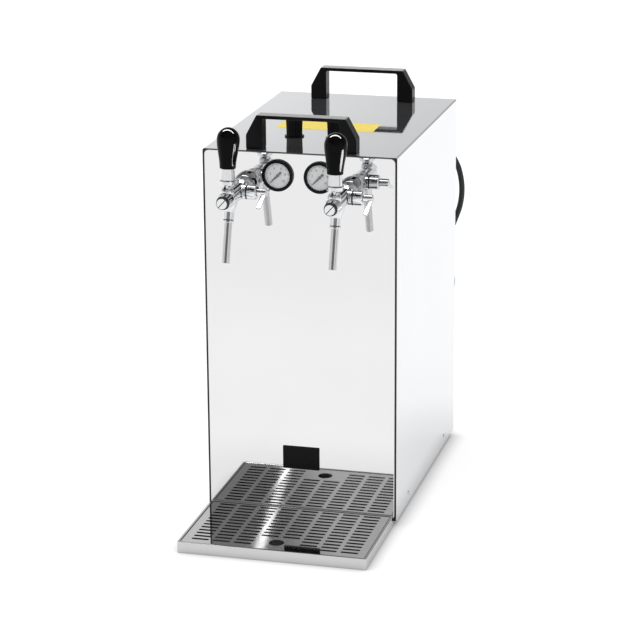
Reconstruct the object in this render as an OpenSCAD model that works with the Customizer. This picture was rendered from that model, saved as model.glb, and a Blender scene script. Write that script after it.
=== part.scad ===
// Two-tap counter-top draught beer cooler in a polished steel casing.
// Millimetres, +Z up, front towards -Y, origin on the floor under the middle of the footprint.
// Shapes are drawn from the front panel's face at y = 0, and seated() moves them to the origin.

/* [Casing] */
// Width over the side walls
casing_w = 310; // [290:1:360]
// Depth from the front panel's face to the rear panel's face
casing_d = 455; // [445:1:520]
// Height of the sheet casing without its feet
casing_h = 593; // [575:1:660]
// Thickness of the casing sheet
sheet_t = 1.2; // [0.8:0.1:1.6]
// Outer radius of the bends along the cover's top edges
bend_r = 3; // [2.5:0.5:6]
// Width of the rubber seal round the front panel
seal_w = 1.5; // [1:0.1:3]
// Thickness of the seal's lip over the cover's front edge
seal_lip = 1; // [0.6:0.1:1.6]
// Distance of the seal's front edge behind the panel's face
seal_sink = 0.8; // [0:0.1:2]
// Corner radius of the front panel
panel_corner_r = 9; // [5:0.5:16]
// Depth of the front panel's folded edge
panel_depth = 12; // [8:1:18]
// Height of the base pan's upturned edges
pan_h = 20; // [14:1:30]
// Width of the cover's inward flange at the rear
rear_flange_w = 14; // [11:1:20]
// Diameter of a foot
foot_d = 30; // [20:1:40]
// Height of a foot
foot_h = 8; // [5:0.5:15]
// Inset of the feet from the casing's edges
foot_inset = 35; // [25:1:50]

/* [Name plate] */
// Width of the bare plate on the front panel
plate_w = 60; // [30:1:90]
// Height of the plate
plate_h = 38; // [20:1:60]
// Thickness of the plate
plate_t = 1.5; // [0.8:0.1:3]
// Height of the plate's middle above the floor
plate_z = 103.5; // [60:0.5:200]

/* [Carry handles] */
// Overall width of a carry handle
bridge_w = 176; // [160:1:220]
// Height of a carry handle above the top
bridge_h = 53.5; // [52:0.5:75]
// Depth of a carry handle from front to back
bridge_d = 24; // [16:1:30]
// Width of the finger gap
finger_w = 123; // [100:1:128]
// Height of the finger gap
finger_h = 48; // [35:1:49]
// Height where the shoulders start to slope
shoulder_h = 22; // [10:1:35]
// Width of the flat top of a carry handle
bridge_top_w = 142; // [132:1:155]
// Distance of the front carry handle from the casing's front
front_bridge_inset = 12; // [8:1:40]
// Distance of the rear carry handle from the casing's rear face
rear_bridge_inset = 22; // [16:1:40]

/* [Drip tray] */
// Distance of the drip tray's sides from the casing's sides
tray_side_inset = 3.75; // [0:0.25:10]
// Length of the drip tray from front to back
tray_l = 184.6; // [178:0.2:220]
// Height of the drip tray
tray_h = 18.4; // [14:0.2:30]
// Thickness of the tray's sheet
tray_t = 1.2; // [0.8:0.1:2]
// Width of the tray's folded rim
rim_w = 4; // [3:0.5:6]
// Corner radius of the tray
tray_corner_r = 3; // [2:0.5:6]
// Sheet thickness of the drip grid
grid_t = 1.2; // [0.8:0.1:2]
// Gap between the grid and the rim
grid_gap = 1; // [0.5:0.1:2]
// Depth of the grid's top below the rim
grid_sink = 0.8; // [0:0.1:2]
// Length of a drain slot
slot_l = 28; // [20:0.5:31]
// Width of a drain slot
slot_w = 6; // [3:0.5:9]
// Number of slot columns
slot_columns = 8; // [4:2:8]
// Number of slot rows
slot_rows = 13; // [8:1:13]
// Distance from one slot column to the next
column_pitch = 34.1; // [32:0.1:35]
// Distance from one slot row to the next
row_pitch = 12.6; // [10:0.1:12.8]
// Distance of the first slot row from the panel's face
first_row = 13; // [12:0.5:16]
// Slot rows left out round the finger hole, counted from the front
plain_rows = 3; // [3:1:5]
// Diameter of the finger hole in the grid
finger_hole_d = 24; // [18:0.5:30]

/* [Taps] */
// Distance between the two taps
tap_spacing = 167; // [150:1:190]
// Depth of the tap axis below the top face
tap_drop = 52; // [48:1:80]
// Diameter of the domed rosette
rosette_d = 40; // [34:1:50]
// Depth of the rosette
rosette_h = 21; // [16:0.5:26]
// Outer diameter of the shank through the panel
shank_d = 16; // [13:0.5:18]
// Bore of the shank
shank_bore = 7; // [5:0.5:9]
// Length of the shank behind the panel
shank_in = 50; // [35:1:55]
// Diameter of the coupling nut
coupling_d = 31; // [28:0.5:36]
// Length of the coupling nut
coupling_l = 19; // [16:0.5:20]
// Diameter of the tap barrel
barrel_d = 26; // [24:0.5:30]
// Diameter of the barrel's nose
nose_d = 21; // [19:0.5:24]
// Length of the barrel in front of the coupling nut
barrel_l = 90; // [86:1:100]
// Diameter of the slotted front plug
plug_d = 18.5; // [16:0.5:19]
// Thickness of the front plug's head
plug_l = 6; // [4:0.5:9]
// Bore for the valve plunger
valve_d = 14; // [12:0.5:15]
// Diameter of the flow compensator
compensator_d = 23; // [20:0.5:26]
// Reach of the compensator from the tap axis
compensator_reach = 32; // [28:0.5:38]
// Distance of the compensator's axis from the coupling nut
compensator_gap = 13.5; // [13.5:0.5:18]
// Diameter of the flow lever's spindle
spindle_d = 8; // [6:0.5:10]
// Diameter of the flow lever's hub
lever_hub_d = 12; // [10:0.5:16]
// Length of the flow lever's hub
lever_hub_l = 14.7; // [12:0.1:20]
// Length of the flow lever from its axis
lever_l = 44; // [30:0.5:48]
// Width of the flow lever
lever_w = 8; // [6:0.5:10]
// Thickness of the flow lever
lever_t = 3; // [2:0.5:5]
// Angle of the flow lever below level
lever_dip = 25; // [0:1:40]
// Outer diameter of the spout
spout_d = 12; // [10:0.5:13]
// Wall of the spout
spout_t = 1; // [0.8:0.1:1.5]
// Forward lean of the spout
spout_lean = 16.5; // [10:0.5:20]
// Distance from the coupling nut to where the spout's axis meets the tap axis
spout_gap = 52.6; // [50:0.2:55]
// Height of the spout's end below the tap axis
spout_drop = 96; // [80:1:120]
// Diameter of the spout collar
collar_d = 16.7; // [15:0.1:20]
// Length of the collar from the tap axis
collar_l = 38.6; // [34:0.2:44]

/* [Tap handles] */
// Distance of the handle's pivot from the coupling nut
pivot_gap = 66; // [64:0.5:68]
// Height of the pivot above the tap axis
pivot_rise = 11; // [10.5:0.1:12]
// Radius of the knuckle round the pivot
knuckle_r = 10.5; // [10:0.1:10.8]
// Diameter of the pivot pin
pin_d = 4; // [3:0.5:5]
// Diameter of the handle stem
stem_d = 6; // [5:0.5:6]
// Backward lean of the handle at rest
handle_lean = 7; // [0:0.5:10]
// Diameter of the ring under the ferrule
ring_d = 25; // [22:0.5:26]
// Height of the ring under the ferrule
ring_h = 7; // [5:0.5:9]
// Diameter of the ferrule at its foot
ferrule_d = 23; // [20:0.5:24]
// Diameter of the ferrule where the grip starts
ferrule_top_d = 20; // [16:0.5:22]
// Height of the ferrule
ferrule_h = 18.3; // [14:0.1:24]
// Diameter of the grip at its foot
hand_foot_d = 24.6; // [20:0.2:28]
// Largest diameter of the grip
hand_d = 35; // [30:0.2:40]
// Length of the grip
hand_l = 62.4; // [50:0.2:80]
// Height of the grip's widest place above its foot
hand_wide_h = 44; // [32:0.5:46]

/* [Gauges] */
// Distance between the two gauges
gauge_spacing = 67; // [62:1:76]
// Depth of the gauge centres below the top face
gauge_drop = 36.5; // [32:0.5:60]
// Diameter of the bezel
gauge_d = 50; // [48:0.5:56]
// Height of the bezel in front of the panel
bezel_h = 5; // [4.5:0.5:8]
// Diameter of the gauge case behind the panel
gauge_case_d = 46; // [44:0.5:47]
// Depth of the gauge case behind the panel
gauge_depth = 28; // [20:1:32]
// Diameter of the dial
dial_d = 39.5; // [36:0.5:43]
// Length of the pointer from the dial's centre
needle_l = 16; // [12:0.5:18]

/* [Regulators] */
// Distance between the two regulator knobs
knob_spacing = 67; // [62:1:84]
// How far the middle between the knobs stands left of the casing's middle
knob_shift = 4; // [0:0.5:6]
// Distance of the knobs from the front panel
knob_setback = 114; // [100:1:130]
// Diameter of a knob
knob_d = 27; // [20:0.5:30]
// Height of a knob
knob_h = 30; // [22:1:40]
// Diameter of the round nut under a knob
knob_nut_d = 31; // [26:0.5:34]
// Height of the round nut
knob_nut_h = 2; // [1.5:0.5:4]
// Diameter of the regulator body
regulator_d = 36; // [30:1:40]
// Height of the regulator body
regulator_h = 44; // [36:1:50]

/* [Cooling] */
// How far the cooling block reaches past the line of each tap
block_reach = 6.5; // [0:0.5:12]
// Depth of the cooling block
block_d = 110; // [90:1:115]
// Height of the cooling block
block_h = 300; // [240:1:320]
// Thickness of the foam round the block
foam_t = 20; // [12:1:22]
// Distance of the foam from the front panel's face
foam_setback = 70; // [60:1:75]
// Diameter of the compressor shell
compressor_d = 120; // [100:1:125]
// Height of the compressor shell
compressor_h = 156; // [120:1:165]
// Sideways place of the compressor
compressor_x = 40; // [30:1:42]
// Height of a rubber grommet under the compressor
grommet_h = 12; // [8:1:16]
// Width of the condenser's fin pack
condenser_w = 220; // [206:1:230]
// Height of the condenser's fin pack
condenser_h = 200; // [196:1:220]
// Depth of the condenser's fin pack
condenser_t = 36; // [30:1:38]
// Height of the condenser's lower edge above the base pan
condenser_rise = 221; // [215:1:240]
// Air gap between the condenser and the rear panel
air_gap = 22; // [18:1:26]
// Diameter of the fan blade
fan_d = 172; // [150:1:176]
// Number of fan blades
fan_blades = 5; // [3:1:7]
// Diameter of the fan motor
motor_d = 60; // [50:1:70]
// Length of the fan motor
motor_l = 40; // [30:1:45]
// Diameter of the refrigerant lines
line_d = 7; // [5:0.5:8]
// Diameter of the capillary tube
capillary_d = 3; // [2:0.5:4]
// Diameter of the filter drier
drier_d = 20; // [16:1:24]
// Length of the filter drier
drier_l = 100; // [70:1:110]

/* [Rear panel] */
// Diameter of the beer tubes that push into the rear
beer_tube_d = 9.5; // [8:0.1:10]
// Diameter of the gas tubes that push into the rear
gas_tube_d = 8; // [6:0.1:8]
// Length of a fitting outside the rear panel
port_l = 25; // [20:1:30]
// Outer diameter of a fitting
port_d = 18; // [16:0.5:20]
// Depth of the beer fittings below the top face
beer_port_drop = 101; // [95:1:110]
// Depth of the gas fittings below the top face
gas_port_drop = 61; // [55:1:66]
// Sideways distance between neighbouring gas fittings
gas_port_pitch = 37; // [34:1:40]
// Number of rows of ventilation slots
vent_rows = 14; // [8:1:15]
// Length of a ventilation slot
vent_l = 95; // [70:1:100]
// Width of a ventilation slot
vent_w = 6; // [4:0.5:8]
// Distance from one ventilation slot to the next
vent_pitch = 14; // [12:0.5:15]
// Width and height of the thermostat's body
thermostat_w = 40; // [30:1:42]
// Diameter of the thermostat's knob
dial_knob_d = 32; // [24:1:36]

/* [Mains lead] */
// Diameter of the mains lead
cord_d = 10; // [7:0.5:10]
// Number of loops in the coil
coil_loops = 4; // [4:2:8]
// Least radius of the coil
coil_r = 44; // [40:1:60]
// Distance from one loop to the next
coil_pitch = 11; // [11:0.1:14]
// Height from the lower to the upper layer
layer_h = 10.6; // [10.6:0.1:14]
// Diameter of the plug
plug_body_d = 37; // [30:1:40]
// Length of the plug's body
plug_body_l = 42; // [34:1:50]

/* [Clearances] */
// Radial clearance of pins and shafts that turn or slide
run_fit = 0.05; // [0.02:0.01:0.1]
// Radial clearance of pieces that are pushed together and stay
push_fit = 0.1; // [0.05:0.01:0.2]
// Gap between a moving piece and what it rests on or passes
slip = 0.3; // [0.2:0.05:0.4]

/* [Hidden] */
$fn = 64;
over = 1;
LEFT = -1;
RIGHT = 1;

polished = [0.86, 0.87, 0.88];
chrome = [0.78, 0.79, 0.81];
black = [0.05, 0.05, 0.06];
copper = [0.72, 0.45, 0.3];
brass = [0.75, 0.62, 0.32];
pale = [0.9, 0.9, 0.88];

inner_w = casing_w - 2 * sheet_t;
cover_d = casing_d - sheet_t;
cover_y = seal_sink + seal_lip;
top_z = foot_h + casing_h;
floor_z = foot_h + sheet_t;
panel_w = inner_w - 2 * seal_w;
panel_h = casing_h - 2 * sheet_t - 2 * seal_w;
panel_z = floor_z + seal_w;
mid_y = (casing_d + port_l - tray_l - slip) / 2;

// Foot pips, rear screws and carry-handle screws
foot_x = casing_w / 2 - foot_inset;
foot_taper = 4;
foot_pip_d = 6;
foot_pip_h = 6;
screw_d = 3.5;
screw_head_d = 7;
screw_head_h = 2.2;
screw_l = 8;
top_screw_drop = 40;
screw_x = (casing_w - rear_flange_w) / 2;
screw_z = [foot_h + pan_h / 2, foot_h + casing_h / 2, top_z - top_screw_drop];
bolt_d = 5;
bolt_head_d = 9;
bolt_head_h = 3;
bolt_in = 16;
leg_x = (bridge_w + finger_w) / 4;
bridge_y = [front_bridge_inset, casing_d - rear_bridge_inset - bridge_d];
finger_corner = 2;

// Drip tray and grid
tray_mid_y = -slip - tray_l / 2;
tray_w = casing_w - 2 * tray_side_inset;
grid_w = tray_w - 2 * (rim_w + grid_gap);
grid_l = tray_l - 2 * (rim_w + grid_gap);
grid_z = tray_h - grid_sink;
hole_row = slot_rows - (plain_rows + 1) / 2;

// Taps, measured forward from the panel's face
tap_z = top_z - tap_drop;
shank_out = 9;
shank_nut_d = 32;
shank_nut_h = 8;
tail_u = rosette_h + shank_out;
tail_d = 20;
crown_sink = 2;
coupling_u = rosette_h + coupling_l;
neck_l = 4;
compensator_u = coupling_u + compensator_gap;
pivot_u = coupling_u + pivot_gap;
spout_u = coupling_u + spout_gap;
nose_u = coupling_u + barrel_l;
nose_l = 18;
passage_d = 9;
plug_stem_l = 4;
plug_slot = 2;
plug_slot_turn = 48;
plunger_room = 4;
plunger_back = 22;
valve_back = 34;
spindle_wall = 4;
spindle_in = barrel_d / 2 - spindle_wall;
spindle_web = 1.5;
spout_in = 18;
spout_bore = spout_d - 2 * spout_t;
spout_l = spout_drop / cos(spout_lean);

// Handle stem, knuckle and plunger pocket
cheek_play = 0.5;
cheek_gap = stem_d + 2 * cheek_play;
cheek_l = 16.4;
pin_sink = 1;
hub_d = stem_d + 2 * slip;
arm_d = 3.6;
ball_d = 4.4;
pocket_play = 0.4;
pocket_side = 0.5;
pocket_floor = 0.8;
pocket_top = 2.2;
arm_sweep = 9;
ring_gap = 0.5;
ring_z = knuckle_r + ring_gap;
ferrule_z = ring_z + ring_h;
hand_z = ferrule_z + ferrule_h;
stem_in = 16;

// Gauges, measured forward from the panel's face
gauge_z = top_z - gauge_drop;
gauge_edge = 0.8;
gauge_boss_d = 12;
gauge_boss_l = 8;
dial_seat = 0.6;
dial_t = 0.8;
glass_t = 0.8;
glass_sink = 0.4;
glass_u = bezel_h - glass_sink - glass_t;
staff_d = 1.5;
staff_in = 6;
needle_t = 0.6;
needle_w = 1.4;
needle_tail = 6;
needle_hub_d = 4.8;
needle_zero = 45;

// Regulators under the top
regulator_z = top_z - sheet_t - regulator_h;
bushing_d = 18;
knob_taper = 2;
knob_spindle_d = 8;
knob_spindle_l = 30;
gas_stub_rise = 10;
gas_stub_z = regulator_z + gas_stub_rise;
gas_stub_l = 8;
tee_stub_l = 4;
tee_t = 12;
tee_w = knob_spacing - regulator_d - 2 * tee_stub_l;
function knob_x(side) = side * knob_spacing / 2 - knob_shift;
gauge_line_d = 5;

// Cooling block, compressor, condenser and fan
block_w = tap_spacing + 2 * block_reach;
block_y = foam_setback + foam_t;
block_z = floor_z + foam_t;
foam_top = block_z + block_h + foam_t;
stub_rise = 10;
stub_inset = 20;
stub_x = block_w / 2 - stub_inset;
beer_out_y = block_y + stub_inset;
beer_in_y = block_y + block_d - stub_inset;
evaporator_x = 40;
evaporator_drop = 60;
evaporator_z = block_z + block_h - evaporator_drop;
condenser_y = cover_d - air_gap - condenser_t;
condenser_z = floor_z + condenser_rise;
end_plate_t = 1.5;
condenser_stub_l = 10;
condenser_stub_inset = 20;
fin_pitch = 9;
fin_gap = 4;
fin_depth = 8;
shell_plate_w = 150;
shell_plate_l = 130;
shell_plate_t = 3;
grommet_d = 22;
grommet_inset = 13;
shell_z = floor_z + grommet_h + shell_plate_t;
shell_foot_chamfer = 12;
shell_dome_h = 32;
shell_slope = 24;
shell_crown_r = compressor_d / 2 - shell_slope;
shell_gap = 12;
shell_y = condenser_y - shell_gap - shell_plate_l / 2;
shell_port_x = 30;
shell_port_z = shell_z + compressor_h + stub_rise;
fan_z = condenser_z + condenser_h / 2;
shroud_t = 2;
ring_wall = 2;
tip_gap = 4;
shroud_l = 22;
arm_w = 12;
arm_t = 3;
arm_y = condenser_y - shroud_l - arm_t;
fan_hub_d = 40;
fan_hub_l = 14;
fan_hub_gap = 2.5;
fan_hub_y = condenser_y - shroud_l + fan_hub_gap;
blade_root = 2;
fan_shaft_d = 8;
fan_shaft_play = 2;
fan_shaft_in = 22;
blade_chord = 38;
blade_t = 2;
blade_pitch = 25;
drier_x = -condenser_w / 2;
drier_rise = 100;
drier_z = floor_z + drier_rise;
drier_cone = 10;
line_out = 28;
line_steps = 4;
line_sides = 8;
line_out_x = -condenser_w / 2 - line_out;

// Rear panel fittings
beer_port_x = 84;
beer_port_z = top_z - beer_port_drop;
gas_port_z = top_z - gas_port_drop;
port_tail_d = 12;
port_tail_l = 20;
port_nut_d = 22;
port_nut_h = 6;
port_socket = 18;
port_step = 1.5;
vent_gap = 12;
thermostat_inset = 55;
thermostat_x = thermostat_inset - casing_w / 2;
thermostat_l = 30;
thermostat_bush_d = 10;
thermostat_bush_l = 3;
dial_knob_h = 15;
dial_shaft_d = 6;
dial_shaft_in = 12;
gland_inset = 43;
gland_drop = 81;
gland_x = casing_w / 2 - gland_inset;
gland_z = top_z - gland_drop;
gland_l = 30;
gland_d = 24;
gland_neck_d = 16;
gland_lip = 2;
gland_tip_d = cord_d + 2 * gland_lip;

// Mains lead: gland, loose drop behind the casing, then the floor up to the coil
coil_x = 0;
coil_y = 540;
cord_play = 0.2;
cord_z = cord_d / 2 + cord_play;
coil_end_r = coil_r + coil_pitch * coil_loops / 2;
coil_tail = 60;
coil_rings = 24;
coil_sides = 6;
plug_z = plug_body_d / 2 + slip;
plug_neck_d = 16;
plug_neck_l = 12;
plug_slope = 12;
prong_d = 4.8;
prong_l = 19;
prong_gap = 19;
lead_sides = 10;
lead_steps = 2;
lead_route = [
    [gland_x, casing_d + gland_l, gland_z],
    [gland_x, casing_d + gland_l + 14, gland_z],
    [gland_x + 1.5, 522, 516],
    [120, 542, 500],
    [130.5, 553, 478],
    [139.5, 555, 459],
    [145, 555.5, 435],
    [146, 555, 412],
    [142.5, 554, 388],
    [133.5, 553, 362],
    [123.5, 552.5, 336],
    [119.5, 552, 311],
    [124.5, 552, 286],
    [130.5, 552, 264],
    [131, 552, 244],
    [125.5, 552, 222],
    [120, 552, 190],
    [114, 553, 150],
    [108, 556, 112],
    [101, 562, 76],
    [92, 571, 44],
    [78, 583, 20],
    [60, 594, 8],
    [42, 602, cord_z],
    [26, coil_y + coil_end_r, cord_z],
    [coil_x + cord_d, coil_y + coil_end_r, cord_z]
];

module seated() {
    translate([0, -mid_y, 0]) children();
}

// A round bar along X
module rod_x(d, x0, x1) {
    translate([x0, 0, 0]) rotate([0, 90, 0]) cylinder(d = d, h = x1 - x0);
}

// A round bar along Y
module rod_y(d, y0, y1) {
    translate([0, y0, 0]) rotate([-90, 0, 0]) cylinder(d = d, h = y1 - y0);
}

// A block with all four corners rounded as seen from the front
module upright_plate(w, h, y0, y1, r) {
    translate([-w / 2, y0, r]) cube([w, y1 - y0, h - 2 * r]);
    translate([r - w / 2, y0, 0]) cube([w - 2 * r, y1 - y0, h]);
    for (x = [r - w / 2, w / 2 - r], z = [r, h - r])
        translate([x, 0, z]) rod_y(2 * r, y0, y1);
}

// A block with its two top edges rounded as seen from the front
module top_rounded_block(w, h, y0, y1, r) {
    translate([-w / 2, y0, 0]) cube([w, y1 - y0, h - r]);
    translate([r - w / 2, y0, 0]) cube([w - 2 * r, y1 - y0, h]);
    for (x = [r - w / 2, w / 2 - r])
        translate([x, 0, h - r]) rod_y(2 * r, y0, y1);
}

// A box centred on Z with rounded upright edges
module rounded_box(w, l, h, r) {
    translate([-w / 2, r - l / 2, 0]) cube([w, l - 2 * r, h]);
    translate([r - w / 2, -l / 2, 0]) cube([w - 2 * r, l, h]);
    for (x = [r - w / 2, w / 2 - r], y = [r - l / 2, l / 2 - r])
        translate([x, y, 0]) cylinder(r = r, h = h);
}

function unit(v) = v / norm(v);
function ramp(s) = let (c = max(0, min(1, s))) c * c * (3 - 2 * c);

// A smooth curve through hand-placed points, straight along its first and last stretch
function curve_point(a, b, c, d, t) =
    0.5 * (2 * b + (c - a) * t + (2 * a - 5 * b + 4 * c - d) * t * t + (3 * b - a - 3 * c + d) * t * t * t);
function before(p, i) = i == 0 ? 2 * p[0] - p[1] : p[i - 1];
function after(p, i) = i + 1 < len(p) ? p[i + 1] : 2 * p[i] - p[i - 1];
function smooth_path(p, steps) = [
    for (i = [0 : len(p) - 2])
        for (k = [0 : (i == 0 || i == len(p) - 2 ? 1 : steps) - 1])
            curve_point(before(p, i), p[i], p[i + 1], after(p, i + 1), k / steps),
    p[len(p) - 1]
];

// Directions along a path, and sideways vectors carried along it without twist
function path_dirs(p) = [
    for (i = [0 : len(p) - 1])
        unit(p[min(i + 1, len(p) - 1)] - p[max(i - 1, 0)])
];
function side_of(dir) = unit(abs(dir.z) < 0.9 ? cross([0, 0, 1], dir) : cross([1, 0, 0], dir));
function carry(side, dir) = unit(side - (side * dir) * dir);
function carried_sides(dirs) = [
    for (i = 0, s = side_of(dirs[0]); i < len(dirs); i = i + 1, s = i < len(dirs) ? carry(s, dirs[i]) : s) s
];

// A round tube swept along a path as one closed skin of triangles
module swept(path, d, sides) {
    dirs = path_dirs(path);
    across = carried_sides(dirs);
    rings = len(path);
    points = [
        for (i = [0 : rings - 1], k = [0 : sides - 1])
            let (a = 360 * k / sides)
                path[i] + d / 2 * (cos(a) * across[i] + sin(a) * cross(dirs[i], across[i]))
    ];
    walls = [
        for (i = [0 : rings - 2], k = [0 : sides - 1])
            let (a = i * sides + k, b = i * sides + (k + 1) % sides)
                for (f = [[a, a + sides, b + sides], [a, b + sides, b]]) f
    ];
    start_cap = [for (k = [1 : sides - 2]) [0, k, k + 1]];
    last = (rings - 1) * sides;
    end_cap = [for (k = [1 : sides - 2]) [last, last + k + 1, last + k]];
    polyhedron(points, concat(walls, start_cap, end_cap));
}

module bent_line(route, d) {
    swept(smooth_path(route, line_steps), d, line_sides);
}

module at_feet() {
    for (x = [-foot_x, foot_x], y = [foot_inset, casing_d - foot_inset])
        translate([x, y, 0]) children();
}

module at_rear_screws() {
    for (x = [-screw_x, screw_x], z = screw_z)
        translate([x, casing_d, z]) children();
}

module at_bridge_bolts() {
    for (x = [-leg_x, leg_x], y = bridge_y)
        translate([x, y + bridge_d / 2, top_z]) children();
}

module at_taps() {
    for (side = [LEFT, RIGHT])
        translate([side * tap_spacing / 2, 0, tap_z]) children();
}

module at_gauges() {
    for (side = [LEFT, RIGHT])
        translate([side * gauge_spacing / 2, 0, gauge_z]) children();
}

module at_regulators() {
    for (side = [LEFT, RIGHT])
        translate([knob_x(side), knob_setback, 0]) children();
}

module at_beer_inlets() {
    for (x = [-beer_port_x, beer_port_x])
        translate([x, casing_d, beer_port_z]) children();
}

module at_gas_ports() {
    for (i = [-1 : 1])
        translate([i * gas_port_pitch, casing_d, gas_port_z]) children();
}

module base_pan() {
    color(polished) seated() difference() {
        union() {
            translate([-inner_w / 2, 0, foot_h]) cube([inner_w, cover_d, sheet_t]);
            for (x = [-inner_w / 2, inner_w / 2 - sheet_t])
                translate([x, panel_depth + slip, foot_h])
                    cube([sheet_t, cover_d - panel_depth - slip, pan_h]);
            translate([-inner_w / 2, cover_d - sheet_t, foot_h]) cube([inner_w, sheet_t, pan_h]);
        }
        at_feet() cylinder(d = foot_pip_d + 2 * push_fit, h = floor_z + over);
        at_rear_screws() rod_y(screw_d + 2 * push_fit, -3 * sheet_t, over);
    }
}

module rubber_feet() {
    color(black) seated() at_feet() union() {
        cylinder(d1 = foot_d - foot_taper, d2 = foot_d, h = foot_h);
        cylinder(d = foot_pip_d, h = floor_z + foot_pip_h);
    }
}

module front_panel() {
    color(polished) seated() difference() {
        translate([0, 0, panel_z]) upright_plate(panel_w, panel_h, 0, panel_depth, panel_corner_r);
        translate([0, 0, panel_z + sheet_t])
            upright_plate(panel_w - 2 * sheet_t, panel_h - 2 * sheet_t, sheet_t, panel_depth + over,
                panel_corner_r - sheet_t);
        at_taps() rod_y(shank_d + 2 * push_fit, -over, sheet_t + over);
        at_gauges() rod_y(gauge_case_d + 2 * push_fit, -over, sheet_t + over);
    }
}

module panel_seal() {
    color(black) seated() difference() {
        union() {
            translate([0, 0, floor_z])
                top_rounded_block(inner_w, casing_h - 2 * sheet_t, seal_sink, panel_depth, bend_r - sheet_t);
            translate([0, 0, floor_z])
                top_rounded_block(casing_w, casing_h - sheet_t, seal_sink, cover_y, bend_r);
        }
        translate([0, 0, panel_z])
            upright_plate(panel_w, panel_h, seal_sink - over, panel_depth + over, panel_corner_r);
    }
}

module casing_cover() {
    color(polished) seated() difference() {
        translate([0, 0, foot_h]) top_rounded_block(casing_w, casing_h, cover_y, cover_d, bend_r);
        translate([0, 0, foot_h - over])
            top_rounded_block(inner_w, casing_h - sheet_t + over, -over, cover_d - sheet_t, bend_r - sheet_t);
        translate([rear_flange_w - casing_w / 2, cover_d - 2 * sheet_t, foot_h - over])
            cube([casing_w - 2 * rear_flange_w, 3 * sheet_t, casing_h - rear_flange_w + over]);
        translate([-inner_w / 2, cover_d - 2 * sheet_t, foot_h - over])
            cube([inner_w, 3 * sheet_t, pan_h + slip + over]);
        at_rear_screws() rod_y(screw_d + 2 * push_fit, -3 * sheet_t, over);
        at_bridge_bolts() translate([0, 0, -sheet_t - over])
            cylinder(d = bolt_d + 2 * push_fit, h = sheet_t + 2 * over);
        at_regulators() translate([0, 0, top_z - sheet_t - over])
            cylinder(d = bushing_d + 2 * push_fit, h = sheet_t + 2 * over);
    }
}

module rear_panel() {
    color(polished) seated() difference() {
        translate([0, 0, foot_h]) top_rounded_block(casing_w, casing_h, cover_d, casing_d, bend_r);
        for (side = [LEFT, RIGHT], i = [0 : vent_rows - 1])
            translate([side * (vent_l + vent_gap) / 2 - vent_l / 2, cover_d - over,
                    fan_z + (i - (vent_rows - 1) / 2) * vent_pitch - vent_w / 2])
                cube([vent_l, sheet_t + 2 * over, vent_w]);
        at_rear_screws() rod_y(screw_d + 2 * push_fit, -3 * sheet_t, over);
        at_beer_inlets() rod_y(port_tail_d + 2 * push_fit, -sheet_t - over, over);
        at_gas_ports() rod_y(port_tail_d + 2 * push_fit, -sheet_t - over, over);
        translate([thermostat_x, casing_d, gas_port_z])
            rod_y(thermostat_bush_d + 2 * push_fit, -sheet_t - over, over);
        translate([gland_x, casing_d, gland_z]) rod_y(gland_neck_d + 2 * push_fit, -sheet_t - over, over);
    }
}

module casing_screws() {
    color(chrome) seated() at_rear_screws() union() {
        rod_y(screw_d, -screw_l, 0);
        rod_y(screw_head_d, 0, screw_head_h);
    }
}

module carry_handle(y) {
    color(black) seated() difference() {
        translate([0, y + bridge_d, top_z]) rotate([90, 0, 0]) linear_extrude(bridge_d) polygon([
            [-bridge_w / 2, 0], [-bridge_w / 2, shoulder_h], [-bridge_top_w / 2, bridge_h],
            [bridge_top_w / 2, bridge_h], [bridge_w / 2, shoulder_h], [bridge_w / 2, 0],
            [finger_w / 2, 0], [finger_w / 2, finger_h - finger_corner],
            [finger_w / 2 - finger_corner, finger_h], [finger_corner - finger_w / 2, finger_h],
            [-finger_w / 2, finger_h - finger_corner], [-finger_w / 2, 0]
        ]);
        at_bridge_bolts() translate([0, 0, -over])
            cylinder(d = bolt_d + 2 * push_fit, h = bolt_in + slip + over);
    }
}

module front_carry_handle() {
    carry_handle(bridge_y[0]);
}

module rear_carry_handle() {
    carry_handle(bridge_y[1]);
}

module handle_screws() {
    color(chrome) seated() at_bridge_bolts() translate([0, 0, -sheet_t]) union() {
        translate([0, 0, -bolt_head_h]) cylinder(d = bolt_head_d, h = bolt_head_h);
        cylinder(d = bolt_d, h = sheet_t + bolt_in);
    }
}

module name_plate() {
    color(black) seated() translate([-plate_w / 2, -plate_t, plate_z - plate_h / 2])
        cube([plate_w, plate_t, plate_h]);
}

module drip_tray() {
    color(polished) seated() translate([0, tray_mid_y, 0]) difference() {
        rounded_box(tray_w, tray_l, tray_h, tray_corner_r);
        translate([0, 0, tray_t]) rounded_box(
            tray_w - 2 * tray_t, tray_l - 2 * tray_t, tray_h - 2 * tray_t, tray_corner_r - tray_t);
        translate([rim_w - tray_w / 2, rim_w - tray_l / 2, tray_h - 2 * tray_t])
            cube([tray_w - 2 * rim_w, tray_l - 2 * rim_w, 2 * tray_t + over]);
    }
}

module drip_grid() {
    skirt_h = grid_z - tray_t - slip;
    color(polished) seated() difference() {
        translate([-grid_w / 2, tray_mid_y - grid_l / 2, grid_z - skirt_h]) difference() {
            cube([grid_w, grid_l, skirt_h]);
            translate([grid_t, grid_t, -over])
                cube([grid_w - 2 * grid_t, grid_l - 2 * grid_t, skirt_h - grid_t + over]);
        }
        for (i = [0 : slot_columns - 1], j = [0 : slot_rows - 1]) {
            x = (i - (slot_columns - 1) / 2) * column_pitch;
            if (abs(x) > column_pitch || j < slot_rows - plain_rows)
                translate([x - slot_l / 2, -first_row - j * row_pitch - slot_w / 2, grid_z - grid_t - over])
                    cube([slot_l, slot_w, grid_t + 2 * over]);
        }
        translate([0, -first_row - hole_row * row_pitch, grid_z - grid_t - over])
            cylinder(d = finger_hole_d, h = grid_t + 2 * over);
    }
}

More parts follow.
